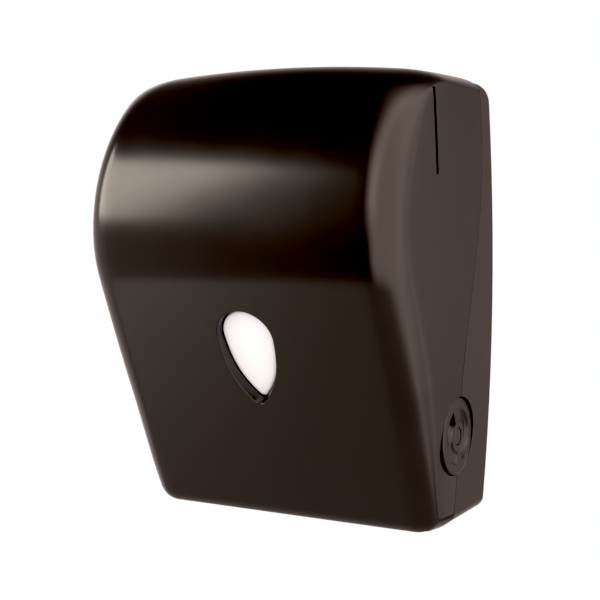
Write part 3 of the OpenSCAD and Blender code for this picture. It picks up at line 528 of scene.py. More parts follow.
@dataclass(frozen=True)
class Housing:
    """The outer form that the cover and the rear shell share; an edge is given by its width and its depth."""

    half: float = 150 * MM
    top: float = 201 * MM
    base: float = -190 * MM
    depth: float = 202 * MM
    nose: float = 64.7 * MM
    reach: float = 113.2 * MM
    chin_r: float = 114.7 * MM
    lean: float = math.radians(23.5)
    bulge: float = 7.4 * MM
    draft: float = math.radians(1.46)
    crown: float = 8.4 * MM
    nose_edge: Pair = (28 * MM, 28 * MM)
    top_edge: Pair = (40 * MM, 9.5 * MM)
    rear_edge: Pair = (28 * MM, 11.5 * MM)
    foot_edge: Pair = (26 * MM, 16.5 * MM)
    base_edge: Pair = (19 * MM, 14 * MM)
    foot_pinch: float = 3.2 * MM
    rear_sag: float = 1.6 * MM
    edge_turns: Pair = (32, 82)
    foot_r: float = 20 * MM
    wall: float = 3 * MM
    seam_top: float = 20.5 * MM
    seam_low: float = 67 * MM
    bend_low: float = -90 * MM
    bend_high: float = 140 * MM
    gap: float = 0.8 * MM
    top_corner: float = 10 * MM
    foot_corner: float = 10 * MM
    shell_top: float = 189.5 * MM
    shell_base: float = -187 * MM

    def half_width(self, y: float, z: float) -> float:
        """Half width at a depth and a height."""
        rise = (2 * z - self.top - self.base) / (self.top - self.base)
        return self.half - self.bulge * rise ** 2 + y * math.tan(self.draft)

    def fall(self, x: float, z: float) -> float:
        """How far the top has fallen from its middle at a place across and a height."""
        share = min(1.0, max(0.0, (z - self.nose) / (self.top - self.nose)))
        return self.crown * share * (x / self.half) ** 2

    def warped(self, x: float, y: float, z: float) -> Vector:
        """Bend a point of the straight-sided form to the bulged and crowned one."""
        z -= self.fall(x, z)
        return Vector((x * self.half_width(y, z) / self.half, y, z))

    def seam_y(self, z: float) -> float:
        """Depth of the seam at a height."""
        bend = smooth_step((self.bend_high - z) / (self.bend_high - self.bend_low))
        return -self.seam_top - (self.seam_low - self.seam_top) * bend

    def front_y(self, z: float) -> float:
        """Depth of the straight lower front at a height."""
        chin_y = self.chin_r - self.depth - self.chin_r * math.cos(self.lean)
        chin_z = self.nose - self.chin_r * math.sin(self.lean)
        return chin_y + (chin_z - z) * math.tan(self.lean)

    def foot(self) -> Pair:
        """Depth and height of the centre of the foot's curve."""
        z = self.base + self.foot_r
        return self.front_y(z) + self.foot_r / math.cos(self.lean), z


HOUSING = Housing()


class Band(Enum):
    """The bands of the cover's surface, from its rear lip over the nose to its base."""

    LIP = "lip"
    TOP = "top"
    FRONT = "front"
    BASE = "base"


class Part(Enum):
    """The parts of a line across the cover."""

    SIDE = "side"
    EDGE = "edge"
    FRONT = "front"


@dataclass
class Station:
    """One line across the cover: its place and slope in the side view, its edge and its pinch."""

    band: Band
    y: float
    z: float
    slope: float
    edge: Pair
    share: float = 0.0
    pinch: float = 0.0
    run: float = 0.0

    def inner(self) -> Vector:
        """The place in the side view where the rounded edge has turned into the side."""
        depth = self.edge[1]
        return Vector((self.y - depth * math.cos(self.slope), self.z - depth * math.sin(self.slope)))


@dataclass
class Drop:
    """The drop-shaped badge in its well on the lower front."""

    z: float = -24 * MM
    round_r: float = 24 * MM
    tip_r: float = 5 * MM
    length: float = 55 * MM
    bow: float = 5 * MM
    lip: float = 1.0 * MM
    draft: float = 2.0 * MM
    well: float = 8 * MM
    floor_t: float = 2 * MM
    floor_lap: float = 1.5 * MM
    badge_drop: float = 6 * MM
    badge_t: float = 1.9 * MM
    badge_gap: float = 0.5 * MM
    badge_edge: float = 3.2 * MM
    badge_round: float = 0.6
    tip_room: float = 0.5 * MM
    tilt: float = math.radians(2.5)
    points: int = 96
    round_share: float = 0.4
    side_share: float = 0.25

    def matrix(self) -> Matrix:
        """Place of the well: across, up the front and out of it."""
        place = Matrix.Translation((0, HOUSING.front_y(self.z), self.z))
        return place @ Matrix.Rotation(math.pi / 2 + HOUSING.lean, 4, "X")

    def outline(self, share: float, grow: float, length: float) -> Vector:
        """Follow the drop's outline round.

        Args:
            share: How far round, from 0 to 1, from the right of the round end.
            grow: How far outside the plain outline.
            length: Distance between the centres of the round end and the tip.

        Returns:
            The point across and up.
        """
        def radius(k: float) -> float:
            """Radius of the drop a share of the way to its tip."""
            return self.round_r + (self.tip_r - self.round_r) * k + self.bow * math.sin(math.pi * k)

        def narrowing(k: float) -> float:
            """How fast the radius shrinks there."""
            return (self.round_r - self.tip_r - self.bow * math.pi * math.cos(math.pi * k)) / length

        def on_side(k: float, side: int) -> Vector:
            """Give a point of the right or left side."""
            tilt = math.asin(narrowing(k))
            reach = radius(k) + grow
            return Vector((side * reach * math.cos(tilt), -length * k - reach * math.sin(tilt)))

        def on_arc(k: float, turn: float) -> Vector:
            """Give a point of the round end or of the tip."""
            reach = radius(k) + grow
            return Vector((reach * math.cos(turn), -length * k + reach * math.sin(turn)))

        wide, narrow = math.asin(narrowing(0)), math.asin(narrowing(1))
        tip, back = self.round_share + self.side_share, 1 - self.side_share
        if share < self.round_share:
            return on_arc(0, -wide + (math.pi + 2 * wide) * share / self.round_share)
        if share < tip:
            return on_side((share - self.round_share) / self.side_share, -1)
        if share < back:
            return on_arc(1, math.pi + narrow + (math.pi - 2 * narrow) * (share - tip) / (back - tip))
        return on_side((1 - share) / self.side_share, 1)

    def swept(self, rings: Profile, length: float, tilt: float = 0.0) -> BMesh:
        """Loft rings round the drop.

        Args:
            rings: How far outside the outline, and how far out of the front, each ring lies.
            length: Distance between the centres of the round end and the tip.
            tilt: Angle by which the rings sink towards the tip.

        Returns:
            The lofted band, open at its first and last ring.
        """
        place = self.matrix()

        def ring_point(column: int, row: int) -> Vector:
            """Give a point of one ring."""
            grow, out = rings[row]
            flat = self.outline((column % self.points) / self.points, grow, length)
            return place @ Vector((flat.x, flat.y, out + flat.y * math.tan(tilt)))

        return lofted(self.points, len(rings) - 1, ring_point)

    def lip_rings(self) -> Profile:
        """Rings of the rounded lip and of the well's sloping wall."""
        lip = arc((self.draft + self.lip, -self.lip), (self.lip, self.lip), 90, 180, 6)
        return [*lip, (0, -self.well)]

    def build(self) -> None:
        """Make the well's floor and the white badge on it."""
        floor = [(self.floor_lap, -self.well - self.floor_t), (self.floor_lap, -self.well)]
        dressed(raised("badge_well_floor", capped(self.swept(floor, self.length, self.tilt))), "badge_bezel")
        radii = (self.badge_edge, self.badge_t * self.badge_round)
        crown = arc((-self.badge_gap - radii[0], -self.badge_drop - radii[1]), radii, 0, 90, 6)
        rings = [(-self.badge_gap, -self.badge_drop - self.badge_t), *crown]
        plate = capped(self.swept(rings, self.length - self.tip_room, self.tilt))
        dressed(raised("badge_plate", plate), "badge")


@dataclass
class Cover:
    """The curved front cover, laid as one grid over the housing's form."""

    lip_low: float = 190.3 * MM
    exit_front: float = -95.6 * MM
    exit_columns: int = 4
    exit_rows: int = 3
    narrow_from: float = 0.45
    lip_rows: int = 4
    top_rows: int = 7
    crown_rows: int = 30
    chin_rows: int = 10
    lower_rows: int = 42
    foot_rows: int = 10
    base_rows: int = 10
    front_columns: int = 30
    edge_columns: int = 12
    side_columns: int = 10
    window_half: float = 42 * MM
    window_low: float = -98 * MM
    window_high: float = 13 * MM
    heel: float = 2 * MM
    seam_edge: float = 0.25 * MM
    lock_y: float = -52 * MM
    lock_hole: float = 8.3 * MM
    lock_deep: float = 20 * MM
    clear: float = 5 * MM
    slot_y: float = -117.6 * MM
    slot_low: float = 110.3 * MM
    slot_high: float = 179.3 * MM
    slot_width: float = 4.5 * MM
    slot_round: float = 1.2 * MM
    slot_reach: Pair = (80 * MM, 160 * MM)

    def __post_init__(self) -> None:
        """Work out the lines across and the columns round the cover."""
        self.stations = self.list_stations()
        sides = between(1, 0, self.side_columns)[:-1]
        edges = between(90, 0, self.edge_columns)[:-1]
        fronts = between(-1, 1, self.front_columns)
        left = [(-1, Part.SIDE, q) for q in sides] + [(-1, Part.EDGE, turn) for turn in edges]
        right = [(1, part, amount) for _, part, amount in reversed(left)]
        self.columns = left + [(1, Part.FRONT, q) for q in fronts] + right

    def list_stations(self) -> list[Station]:
        """List the lines across, with the run of their inner points down the side.

        Returns:
            The stations, from the rear lip over the nose to the base.
        """
        rows = [*self.top_stations(), *self.nose_stations(), *self.lower_stations(), *self.base_stations()]
        self.exit_row = len(rows) - self.base_rows - self.exit_rows - 1
        return self.with_runs(rows)

    def top_stations(self) -> list[Station]:
        """List the lines of the rear lip and of the flat top.

        Returns:
            The stations, from the seam to the front.
        """
        h = HOUSING
        flat = (h.reach - h.depth, h.top, math.pi / 2)
        lip = [Station(Band.LIP, *flat, h.rear_edge, share) for share in between(0, 1, self.lip_rows)[:-1]]
        return lip + [Station(Band.TOP, *flat, blended(h.rear_edge, h.top_edge, share), share)
                      for share in between(0, 1, self.top_rows)[:-1]]

    def nose_stations(self) -> list[Station]:
        """List the lines from the top over the nose and round the chin.

        Returns:
            The stations, from the top down.
        """
        h = HOUSING
        rows = []
        first, last = h.edge_turns
        for turn in between(math.pi / 2, 0, self.crown_rows):
            y = h.reach - h.depth - h.reach * math.cos(turn)
            z = h.nose + (h.top - h.nose) * math.sin(turn)
            slope = math.atan2(math.sin(turn) / (h.top - h.nose), math.cos(turn) / h.reach)
            share = smooth_step((math.degrees(turn) - first) / (last - first))
            rows.append(Station(Band.FRONT, y, z, math.pi - slope, blended(h.nose_edge, h.top_edge, share)))
        for turn in between(0, h.lean, self.chin_rows)[1:]:
            y, z = h.chin_r - h.depth - h.chin_r * math.cos(turn), h.nose - h.chin_r * math.sin(turn)
            rows.append(Station(Band.FRONT, y, z, math.pi + turn, h.nose_edge))
        return rows

    def lower_stations(self) -> list[Station]:
        """List the lines down the straight lower front, drawn in towards the foot.

        Returns:
            The stations, from the chin down.
        """
        h = HOUSING
        start = h.nose - h.chin_r * math.sin(h.lean)
        stop = h.foot()[1] - h.foot_r * math.sin(h.lean)
        rows = []
        for share in between(0, 1, self.lower_rows)[1:]:
            z = start + (stop - start) * share
            narrowing = max(0.0, (share - self.narrow_from) / (1 - self.narrow_from))
            edge = blended(h.nose_edge, h.foot_edge, smooth_step(narrowing))
            pinch = h.foot_pinch * narrowing
            rows.append(Station(Band.FRONT, h.front_y(z), z, math.pi + h.lean, edge, pinch=pinch))
        return rows

    def base_stations(self) -> list[Station]:
        """List the lines round the foot, past the towel's exit, and along the base to the rear.

        Returns:
            The stations, from the foot to the rear.
        """
        h = HOUSING
        foot_y, foot_z = h.foot()
        exit_slope = math.acos((foot_y - self.exit_front) / h.foot_r)
        rows = []
        for turn in [*between(h.lean, exit_slope, self.foot_rows)[1:],
                     *between(exit_slope, math.pi / 2, self.exit_rows)[1:]]:
            share = smooth_step((turn - h.lean) / (math.pi / 2 - h.lean))
            y, z = foot_y - h.foot_r * math.cos(turn), foot_z - h.foot_r * math.sin(turn)
            edge = blended(h.foot_edge, h.base_edge, share)
            rows.append(Station(Band.FRONT, y, z, math.pi + turn, edge, pinch=h.foot_pinch))
        for share in between(0, 1, self.base_rows)[1:]:
            pinch = h.foot_pinch * (1 - share)
            rows.append(Station(Band.BASE, foot_y, h.base, -math.pi / 2, h.base_edge, share, pinch))
        return rows

    def with_runs(self, rows: list[Station]) -> list[Station]:
        """Fill in how far down the side each line's inner point has come, from 0 to 1.

        Args:
            rows: The stations in their order.

        Returns:
            The same stations.
        """
        total = 0.0
        last = None
        for row in rows:
            here = row.inner()
            if row.band in (Band.LIP, Band.TOP):
                share = row.share if row.band is Band.TOP else 0.0
                here.x = -HOUSING.seam_top + (row.y + HOUSING.seam_top) * share
            if row.band is Band.BASE:
                here.x = row.y + (-HOUSING.seam_low - row.y) * row.share
            total += (here - last).length if last else 0.0
            row.run = total
            last = here
        for row in rows:
            row.run /= total
        return rows

    def rear_top(self, z: float) -> float:
        """Depth of the cover's rounded rear corner at the top, at a height."""
        h = HOUSING
        rise = min(h.top_corner, max(0.0, z - h.top + h.rear_sag + h.top_corner))
        return -h.seam_top - h.top_corner + math.sqrt(h.top_corner ** 2 - rise ** 2)

    def rear_foot(self, z: float) -> float:
        """Depth of the cover's rounded rear corner at the foot, at a height."""
        h = HOUSING
        sink = min(h.foot_corner, max(0.0, h.base + self.heel + h.foot_corner - z))
        return -h.seam_low - h.foot_corner + math.sqrt(h.foot_corner ** 2 - sink ** 2)

    def place(self, column: int, row: int) -> Vector:
        """Point of the cover's outer surface.

        Args:
            column: Which column round the cover.
            row: Which line across it.

        Returns:
            The point in the frame.
        """
        h = HOUSING
        station = self.stations[row]
        side, part, amount = self.columns[column]
        wide, deep = station.edge
        half = h.half - station.pinch * (1 - amount if part is Part.SIDE else 1)
        if part is Part.FRONT:
            x, sink = amount * (half - wide), 0.0
        else:
            turn = math.radians(amount if part is Part.EDGE else 90)
            x = side * (half - wide + wide * math.sin(turn))
            sink = deep * (1 - math.cos(turn))
        y = station.y - sink * math.cos(station.slope)
        z = station.z - sink * math.sin(station.slope)
        if station.band is Band.LIP:
            z -= h.rear_sag
        if station.band is Band.TOP:
            z -= h.rear_sag * (1 - station.share) ** 2
        true_z = z - h.fall(x, z)
        if station.band is Band.LIP:
            middle = h.top - h.rear_sag - h.top_corner
            corner = max(-1.0, min(1.0, (true_z - middle) / h.top_corner))
            low = (self.lip_low - middle) / h.top_corner
            if corner > low and part is not Part.SIDE:
                turn = math.asin(low) + (math.asin(corner) - math.asin(low)) * station.share
                y = -h.seam_top - h.top_corner + h.top_corner * math.cos(turn)
                z = middle + h.top_corner * math.sin(turn)
                return Vector((x * h.half_width(y, z) / h.half, y, z))
            y = self.rear_top(true_z)
        if station.band is Band.TOP:
            rear = self.rear_top(true_z)
            y = rear + (station.y - rear) * station.share
        if station.band is Band.BASE:
            y = station.y + (self.rear_foot(z) - station.y) * station.share
        if part is Part.SIDE:
            high, low = h.top - h.rear_edge[1], h.base + h.base_edge[1]
            seam_z = high + (low - high) * station.run
            seam_y = h.seam_y(seam_z - h.fall(x, seam_z)) + h.seam_low + self.rear_foot(seam_z)
            y += (seam_y - y) * amount
            z += (seam_z - z) * amount
        return h.warped(x, y, z)

    def keep(self, column: int, row: int) -> bool:
        """Say whether a face of the grid stays, clear of the towel's exit and of the badge's window.

        Args:
            column: The face's first column.
            row: The face's first line across.

        Returns:
            True if it stays.
        """
        pair = self.columns[column:column + 2]
        last_turn = 90 * self.exit_columns / self.edge_columns
        inside = all(part is Part.FRONT or (part is Part.EDGE and turn <= last_turn)
                     for _, part, turn in pair)
        if row >= self.exit_row and inside:
            return False
        flat = HOUSING.half - HOUSING.nose_edge[0]
        in_window = all(part is Part.FRONT and abs(share) * flat < self.window_half
                        for _, part, share in pair)
        on_lower = all(self.window_low < line.z < self.window_high for line in self.stations[row:row + 2])
        return not (in_window and on_lower)

    def add_well(self, bm: BMesh, drop: Drop) -> None:
        """Sink the badge's well into the window in the lower front.

        Args:
            bm: The cover's outer surface, with its window.
            drop: The badge's shape.
        """
        window = [edge for edge in bm.edges if edge.is_boundary and all(
            abs(vert.co.x) < 2 * self.window_half and self.window_low < vert.co.z < self.window_high
            and vert.co.y < self.exit_front for vert in edge.verts)]
        known = set(bm.edges)
        lip = drop.swept(drop.lip_rings(), drop.length)
        mesh = bpy.data.meshes.new("lip")
        lip.to_mesh(mesh)
        lip.free()
        bm.from_mesh(mesh)
        bpy.data.meshes.remove(mesh)
        flat = drop.matrix().inverted()
        rim = [edge for edge in bm.edges if edge not in known and edge.is_boundary
               and all((flat @ vert.co).z > -drop.lip / 2 for vert in edge.verts)]
        bmesh.ops.triangle_fill(bm, edges=window + rim, use_beauty=True)

    def slot_tool(self, side: int) -> BMesh:
        """Make the tool that cuts one sight slot.

        Args:
            side: 1 for the right side, -1 for the left one.

        Returns:
            The closed tool.
        """
        half = self.slot_width / 2
        left, right = sorted(side * reach for reach in self.slot_reach)
        return slab(Vector((left, self.slot_y - half, self.slot_low)),
                    Vector((right, self.slot_y + half, self.slot_high)), self.slot_round, "X", 6)

    def build(self, drop: Drop, knob: "Knob") -> None:
        """Lay, thicken and cut the cover.

        Args:
            drop: The badge's well.
            knob: The knob, whose opening cuts the right side.
        """
        bm = lofted(len(self.columns) - 1, len(self.stations) - 1, self.place, self.keep)
        self.add_well(bm, drop)
        piece = raised("cover_moulding", outward(bm))
        thicken(piece, HOUSING.wall, self.seam_edge)
        ends = (HOUSING.top - self.lock_deep, HOUSING.top + self.clear)
        hole = plug(self.lock_hole, ends, Vector((0, self.lock_y, 0)), Axis.UP)
        carve(piece, self.slot_tool(1), self.slot_tool(-1), hole, knob.opening_tool())
        dressed(piece, "front_cover")


@dataclass
class RearShell:
    """The rear shell on the wall, with its flange and wall screw holes."""

    top_corner: float = 19 * MM
    low_corner: float = 12 * MM
    rows: int = 12
    side_steps: int = 12
    corner_steps: int = 8
    edge: float = 0.3 * MM
    flange_half: float = 98 * MM
    flange_front: float = -34 * MM
    bolt_x: float = 90 * MM
    bolt_z: float = 120 * MM
    bolt_r: float = 2.75 * MM
    bolt_reach: float = 10 * MM

    def outline(self) -> list[Vector]:
        """List the outline on the wall face, round from the right of the base.

        Returns:
            Points across and up.
        """
        h = HOUSING
        low, high = h.shell_base + self.low_corner, h.shell_top - self.top_corner

        def corner(radius: float, z: float, start: float) -> list[Pair]:
            """List the points of a rounded corner on the right."""
            centre = (h.half_width(0, z) - radius, z)
            return arc(centre, (radius, radius), start, start + 90, self.corner_steps)

        side = [(h.half_width(0, z), z) for z in between(low, high, self.side_steps)[1:-1]]
        half = [*corner(self.low_corner, low, -90), *side, *corner(self.top_corner, high, 0)]
        return [Vector(point) for point in half] + [Vector((-x, z)) for x, z in reversed(half)]

    def bolt_tool(self, x: float, z: float) -> BMesh:
        """Make the tool that drills one wall screw hole.

        Args:
            x: The hole's place across.
            z: The hole's height.

        Returns:
            The closed tool.
        """
        drill = plug(self.bolt_r, (-self.bolt_reach, self.bolt_reach), Vector(), Axis.UP, 32)
        laid = Matrix.Translation((x, 0, z)) @ Matrix.Rotation(math.pi / 2, 4, "X")
        bmesh.ops.transform(drill, matrix=laid, verts=drill.verts)
        return drill

    def build(self, knob: "Knob") -> None:
        """Loft, thicken and cut the shell.

        Args:
            knob: The knob, whose opening cuts the right side.
        """
        h = HOUSING
        ring = self.outline()

        def place(column: int, row: int) -> Vector:
            """Give a point between the wall and the seam."""
            point = ring[column % len(ring)]
            y = (h.seam_y(point.y) + h.gap) * row / self.rows
            return Vector((point.x * (1 + y * math.tan(h.draft) / h.half), y, point.y))

        bm = lofted(len(ring), self.rows, place)
        back = [edge for edge in bm.edges
                if edge.is_boundary and all(abs(vert.co.y) < MERGE for vert in edge.verts)]
        bmesh.ops.holes_fill(bm, edges=back, sides=0)
        piece = raised("rear_moulding", outward(bm))
        thicken(piece, h.wall, self.edge)
        flange = slab(Vector((-self.flange_half, self.flange_front, h.shell_top - h.wall)),
                      Vector((self.flange_half, -h.seam_top / 2, h.shell_top)), self.edge / 2, "X")
        carve(piece, flange, operation="UNION")
        bolts = [self.bolt_tool(x, z)
                 for x in (-self.bolt_x, self.bolt_x) for z in (-self.bolt_z, self.bolt_z)]
        carve(piece, *bolts, knob.opening_tool())
        dressed(piece, "rear_shell")


@dataclass
class Knob:
    """The hand knob, flush in the right side, with two ramped finger recesses and a cap."""

    centre: Vector
    solid_face: float
    proud: float = 1.0 * MM
    radius: float = 32.8 * MM
    gap: float = 0.8 * MM
    opening_in: float = 24 * MM
    opening_out: float = 30 * MM
    flare: float = 75
    thickness: float = 17 * MM
    rim: float = 0.7 * MM
    rim_width: float = 3.5 * MM
    lip: float = 0.4 * MM
    hub_r: float = 9 * MM
    hub_back: float = 3 * MM
    recess_in: float = 12.5 * MM
    recess_out: float = 24.5 * MM
    deep: float = 6.2 * MM
    shallow: float = 1.2 * MM
    starts: Pair = (115, 295)
    span: float = 155
    recess_steps: tuple[int, int] = (48, 16)
    ramp_power: float = 0.6
    side_power: int = 8
    end_power: int = 4
    clear: float = 4 * MM
    cap_r: float = 7.4 * MM
    cap_groove: float = 0.35 * MM
    cap_t: float = 2.4 * MM
    cap_dome: float = 0.5 * MM
    dome_share: float = 0.92

    def __post_init__(self) -> None:
        """Set the face a little out of the solid's."""
        self.face = self.solid_face + self.proud

    def opening_tool(self) -> BMesh:
        """Make the tool that cuts the knob's opening, flared where it meets the bulged side.

        Returns:
            The closed tool.
        """
        wide = self.radius + self.gap
        low, high = HOUSING.half - self.opening_in, HOUSING.half + self.opening_out
        lip = arc((wide + self.lip, HOUSING.half - self.lip), (self.lip, self.lip), 180, 180 - self.flare, 3)
        bm = turned([(0, low), (wide, low), *lip, (lip[-1][0], high), (0, high)], self.centre, steps=128)
        for vert in bm.verts:
            vert.co.x *= HOUSING.half_width(vert.co.y, vert.co.z) / HOUSING.half
        return bm

    def recess_tool(self, start: float) -> BMesh:
        """Make the tool that cuts one finger recess, deep and square at its start and shallow at its end.

        Args:
            start: Angle of the deep end, in degrees, seen from the right.

        Returns:
            The closed tool.
        """
        along, across = self.recess_steps
        middle = (self.recess_in + self.recess_out) / 2
        width = (self.recess_out - self.recess_in) / 2
        round_share = math.degrees(width / middle) / self.span

        def place(column: int, row: int) -> Vector:
            """Give a point of the recess's floor."""
            share = column / along
            side = 2 * row / across - 1
            end = max(0.0, (share - 1 + round_share) / round_share)
            half = width * math.sqrt(max(0.0, 1 - end ** 2))
            turn = math.radians(start + self.span * share)
            ramp = self.deep + (self.shallow - self.deep) * share ** self.ramp_power
            depth = ramp * (1 - abs(side) ** self.side_power) * (1 - end ** self.end_power)
            reach = middle + half * side
            return Vector((self.face - depth, self.centre.y + reach * math.cos(turn),
                           self.centre.z + reach * math.sin(turn)))

        bm = lofted(along, across, place)
        for part in bmesh.ops.extrude_face_region(bm, geom=bm.faces[:])["geom"]:
            if isinstance(part, bmesh.types.BMVert):
                part.co.x = self.face + self.clear
        bmesh.ops.recalc_face_normals(bm, faces=bm.faces)
        return bm

    def build(self) -> None:
        """Turn the knob, cut its recesses and set its cap."""
        back = self.face - self.thickness
        edge = arc((self.radius - self.rim_width, self.face - self.rim), (self.rim_width, self.rim), 0, 90, 8)
        profile = [(0, back - self.hub_back), (self.hub_r, back - self.hub_back), (self.hub_r, back),
                   (self.radius - self.rim, back), (self.radius, back + self.rim), *edge, (0, self.face)]
        piece = raised("knob_disc", turned(profile, self.centre, steps=128))
        low, top = self.face - self.cap_t, self.face - self.cap_dome
        pocket = plug(self.cap_r + self.cap_groove, (low, self.face + self.clear), self.centre)
        carve(piece, *(self.recess_tool(start) for start in self.starts), pocket)
        dressed(piece, "hand_knob")
        dome = arc((0, top), (self.cap_r * self.dome_share, self.cap_dome), 0, 90, 5)
        cap = [(0, low), (self.cap_r, low), (self.cap_r, top - self.cap_groove),
               (self.cap_r - self.cap_groove, top), *dome]
        dressed(raised("knob_centre", turned(cap, self.centre)), "knob_cap")


@dataclass
class Springs:
    """The coiled springs: the long drive spring and the small ones on their pins."""

    drive_turns: int = 18
    small_turns: int = 4
    rings: int = 24
    drive_wire: float = 0.8 * MM
    small_wire: float = 0.6 * MM
    small_pitch: float = 1.8 * MM
    leg: float = 5 * MM
    knife_lean: float = math.radians(-20)

    def build_drive(self) -> None:
        """Wind the drive spring between its posts, with its ends drawn in to the middle."""
        low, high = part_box("drive_spring")
        middle = (low + high) / 2
        radius = (high.x - low.x) / 2 - self.drive_wire
        lead = 2 * self.drive_wire
        count = self.drive_turns * self.rings
        path = [Vector((middle.x, middle.y, low.z)), Vector((middle.x, middle.y, low.z + lead))]
        for k in range(1, count):
            swell = smooth_step(min(k, count - k) / (self.rings / 2))
            turn = math.tau * k / self.rings
            x, y = radius * swell * math.cos(turn), radius * swell * math.sin(turn)
            z = low.z + 2 * lead + (high.z - low.z - 4 * lead) * k / count
            path.append(Vector((middle.x + x, middle.y + y, z)))
        path += [Vector((middle.x, middle.y, high.z - lead)), Vector((middle.x, middle.y, high.z))]
        dressed(raised("drive_coil", wire(path, self.drive_wire)), "drive_spring")

    def build_small(self, node: str, axis: Vector, side: Vector) -> None:
        """Wind a small spring round its pin.

        Args:
            node: The node that it replaces.
            axis: Direction of the pin from the first coil to the last.
            side: Direction from the pin to the start of the first coil.
        """
        low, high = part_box(node)
        middle = (low + high) / 2
        across = axis.cross(side)
        radius = abs((high - low).dot(side)) / 2 - self.small_wire
        count = self.small_turns * self.rings
        start = middle - axis * (self.small_turns * self.small_pitch / 2)
        coil = []
        for k in range(count + 1):
            turn = math.tau * k / self.rings
            coil.append(start + radius * (math.cos(turn) * side + math.sin(turn) * across)
                        + axis * (self.small_pitch * k / self.rings))
        path = [coil[0] - self.leg * across, *coil, coil[-1] + self.leg * across]
        dressed(raised(node + "_coil", wire(path, self.small_wire)), node)

    def build(self) -> None:
        """Wind all the springs."""
        self.build_drive()
        right, up = Vector((1, 0, 0)), Vector((0, 0, 1))
        self.build_small("pinch_spring_right", right, -up)
        self.build_small("pinch_spring_left", -right, -up)
        self.build_small("arm_spring_right", up, right)
        self.build_small("arm_spring_left", up, -right)
        self.build_small("knife_spring", right, Quaternion(right, self.knife_lean) @ -up)


@dataclass
class InnerWorks:
    """The inner pieces whose solids are right: each gets its edges broken and its own finish."""

    edge: float = 0.35 * MM

    def softened(self, node: str) -> Object:
        """Copy a node's mesh with its flat faces joined and its sharp edges rounded.

        Args:
            node: The node's name.

        Returns:
            The copy.
        """
        bm = bmesh.new()
        bm.from_mesh(frame["nodes"][node].data)
        bmesh.ops.remove_doubles(bm, verts=bm.verts, dist=MERGE)
        bmesh.ops.dissolve_limit(bm, angle_limit=FLAT, verts=bm.verts, edges=bm.edges)
        sharp = [edge for edge in bm.edges if edge.is_manifold and edge.calc_face_angle() > ROUNDED]
        bmesh.ops.bevel(bm, geom=sharp, offset=self.edge, segments=2, profile=0.5, affect="EDGES",
                        material=-1, clamp_overlap=True)
        return raised(node + "_piece", bm)

    def build(self, done: set[str]) -> None:
        """Dress every node that no other piece has replaced.

        Args:
            done: The replaced nodes.
        """
        for node in SLOT_OF:
            if node not in done:
                dressed(self.softened(node), node)


@dataclass(frozen=True)
class Lamp:
    """A soft box: its place, what it looks at, its width and height, and its power in watts."""

    name: str
    place: Point
    aim: Point
    size: Pair
    power: float

    def build(self, tint: Colour) -> None:
        """Hang the soft box, out of the camera's sight.

        Args:
            tint: Colour of its light.
        """
        data = bpy.data.lights.new(self.name, "AREA")
        data.shape = "RECTANGLE"
        data.size, data.size_y = self.size
        data.energy = self.power
        data.color = tint
        lamp = bpy.data.objects.new(self.name, data)
        place = Vector(self.place)
        turn = (Vector(self.aim) - place).to_track_quat("-Z", "Y")
        lamp.matrix_world = Matrix.Translation(place) @ turn.to_matrix().to_4x4()
        lamp.visible_camera = False
        bpy.context.collection.objects.link(lamp)


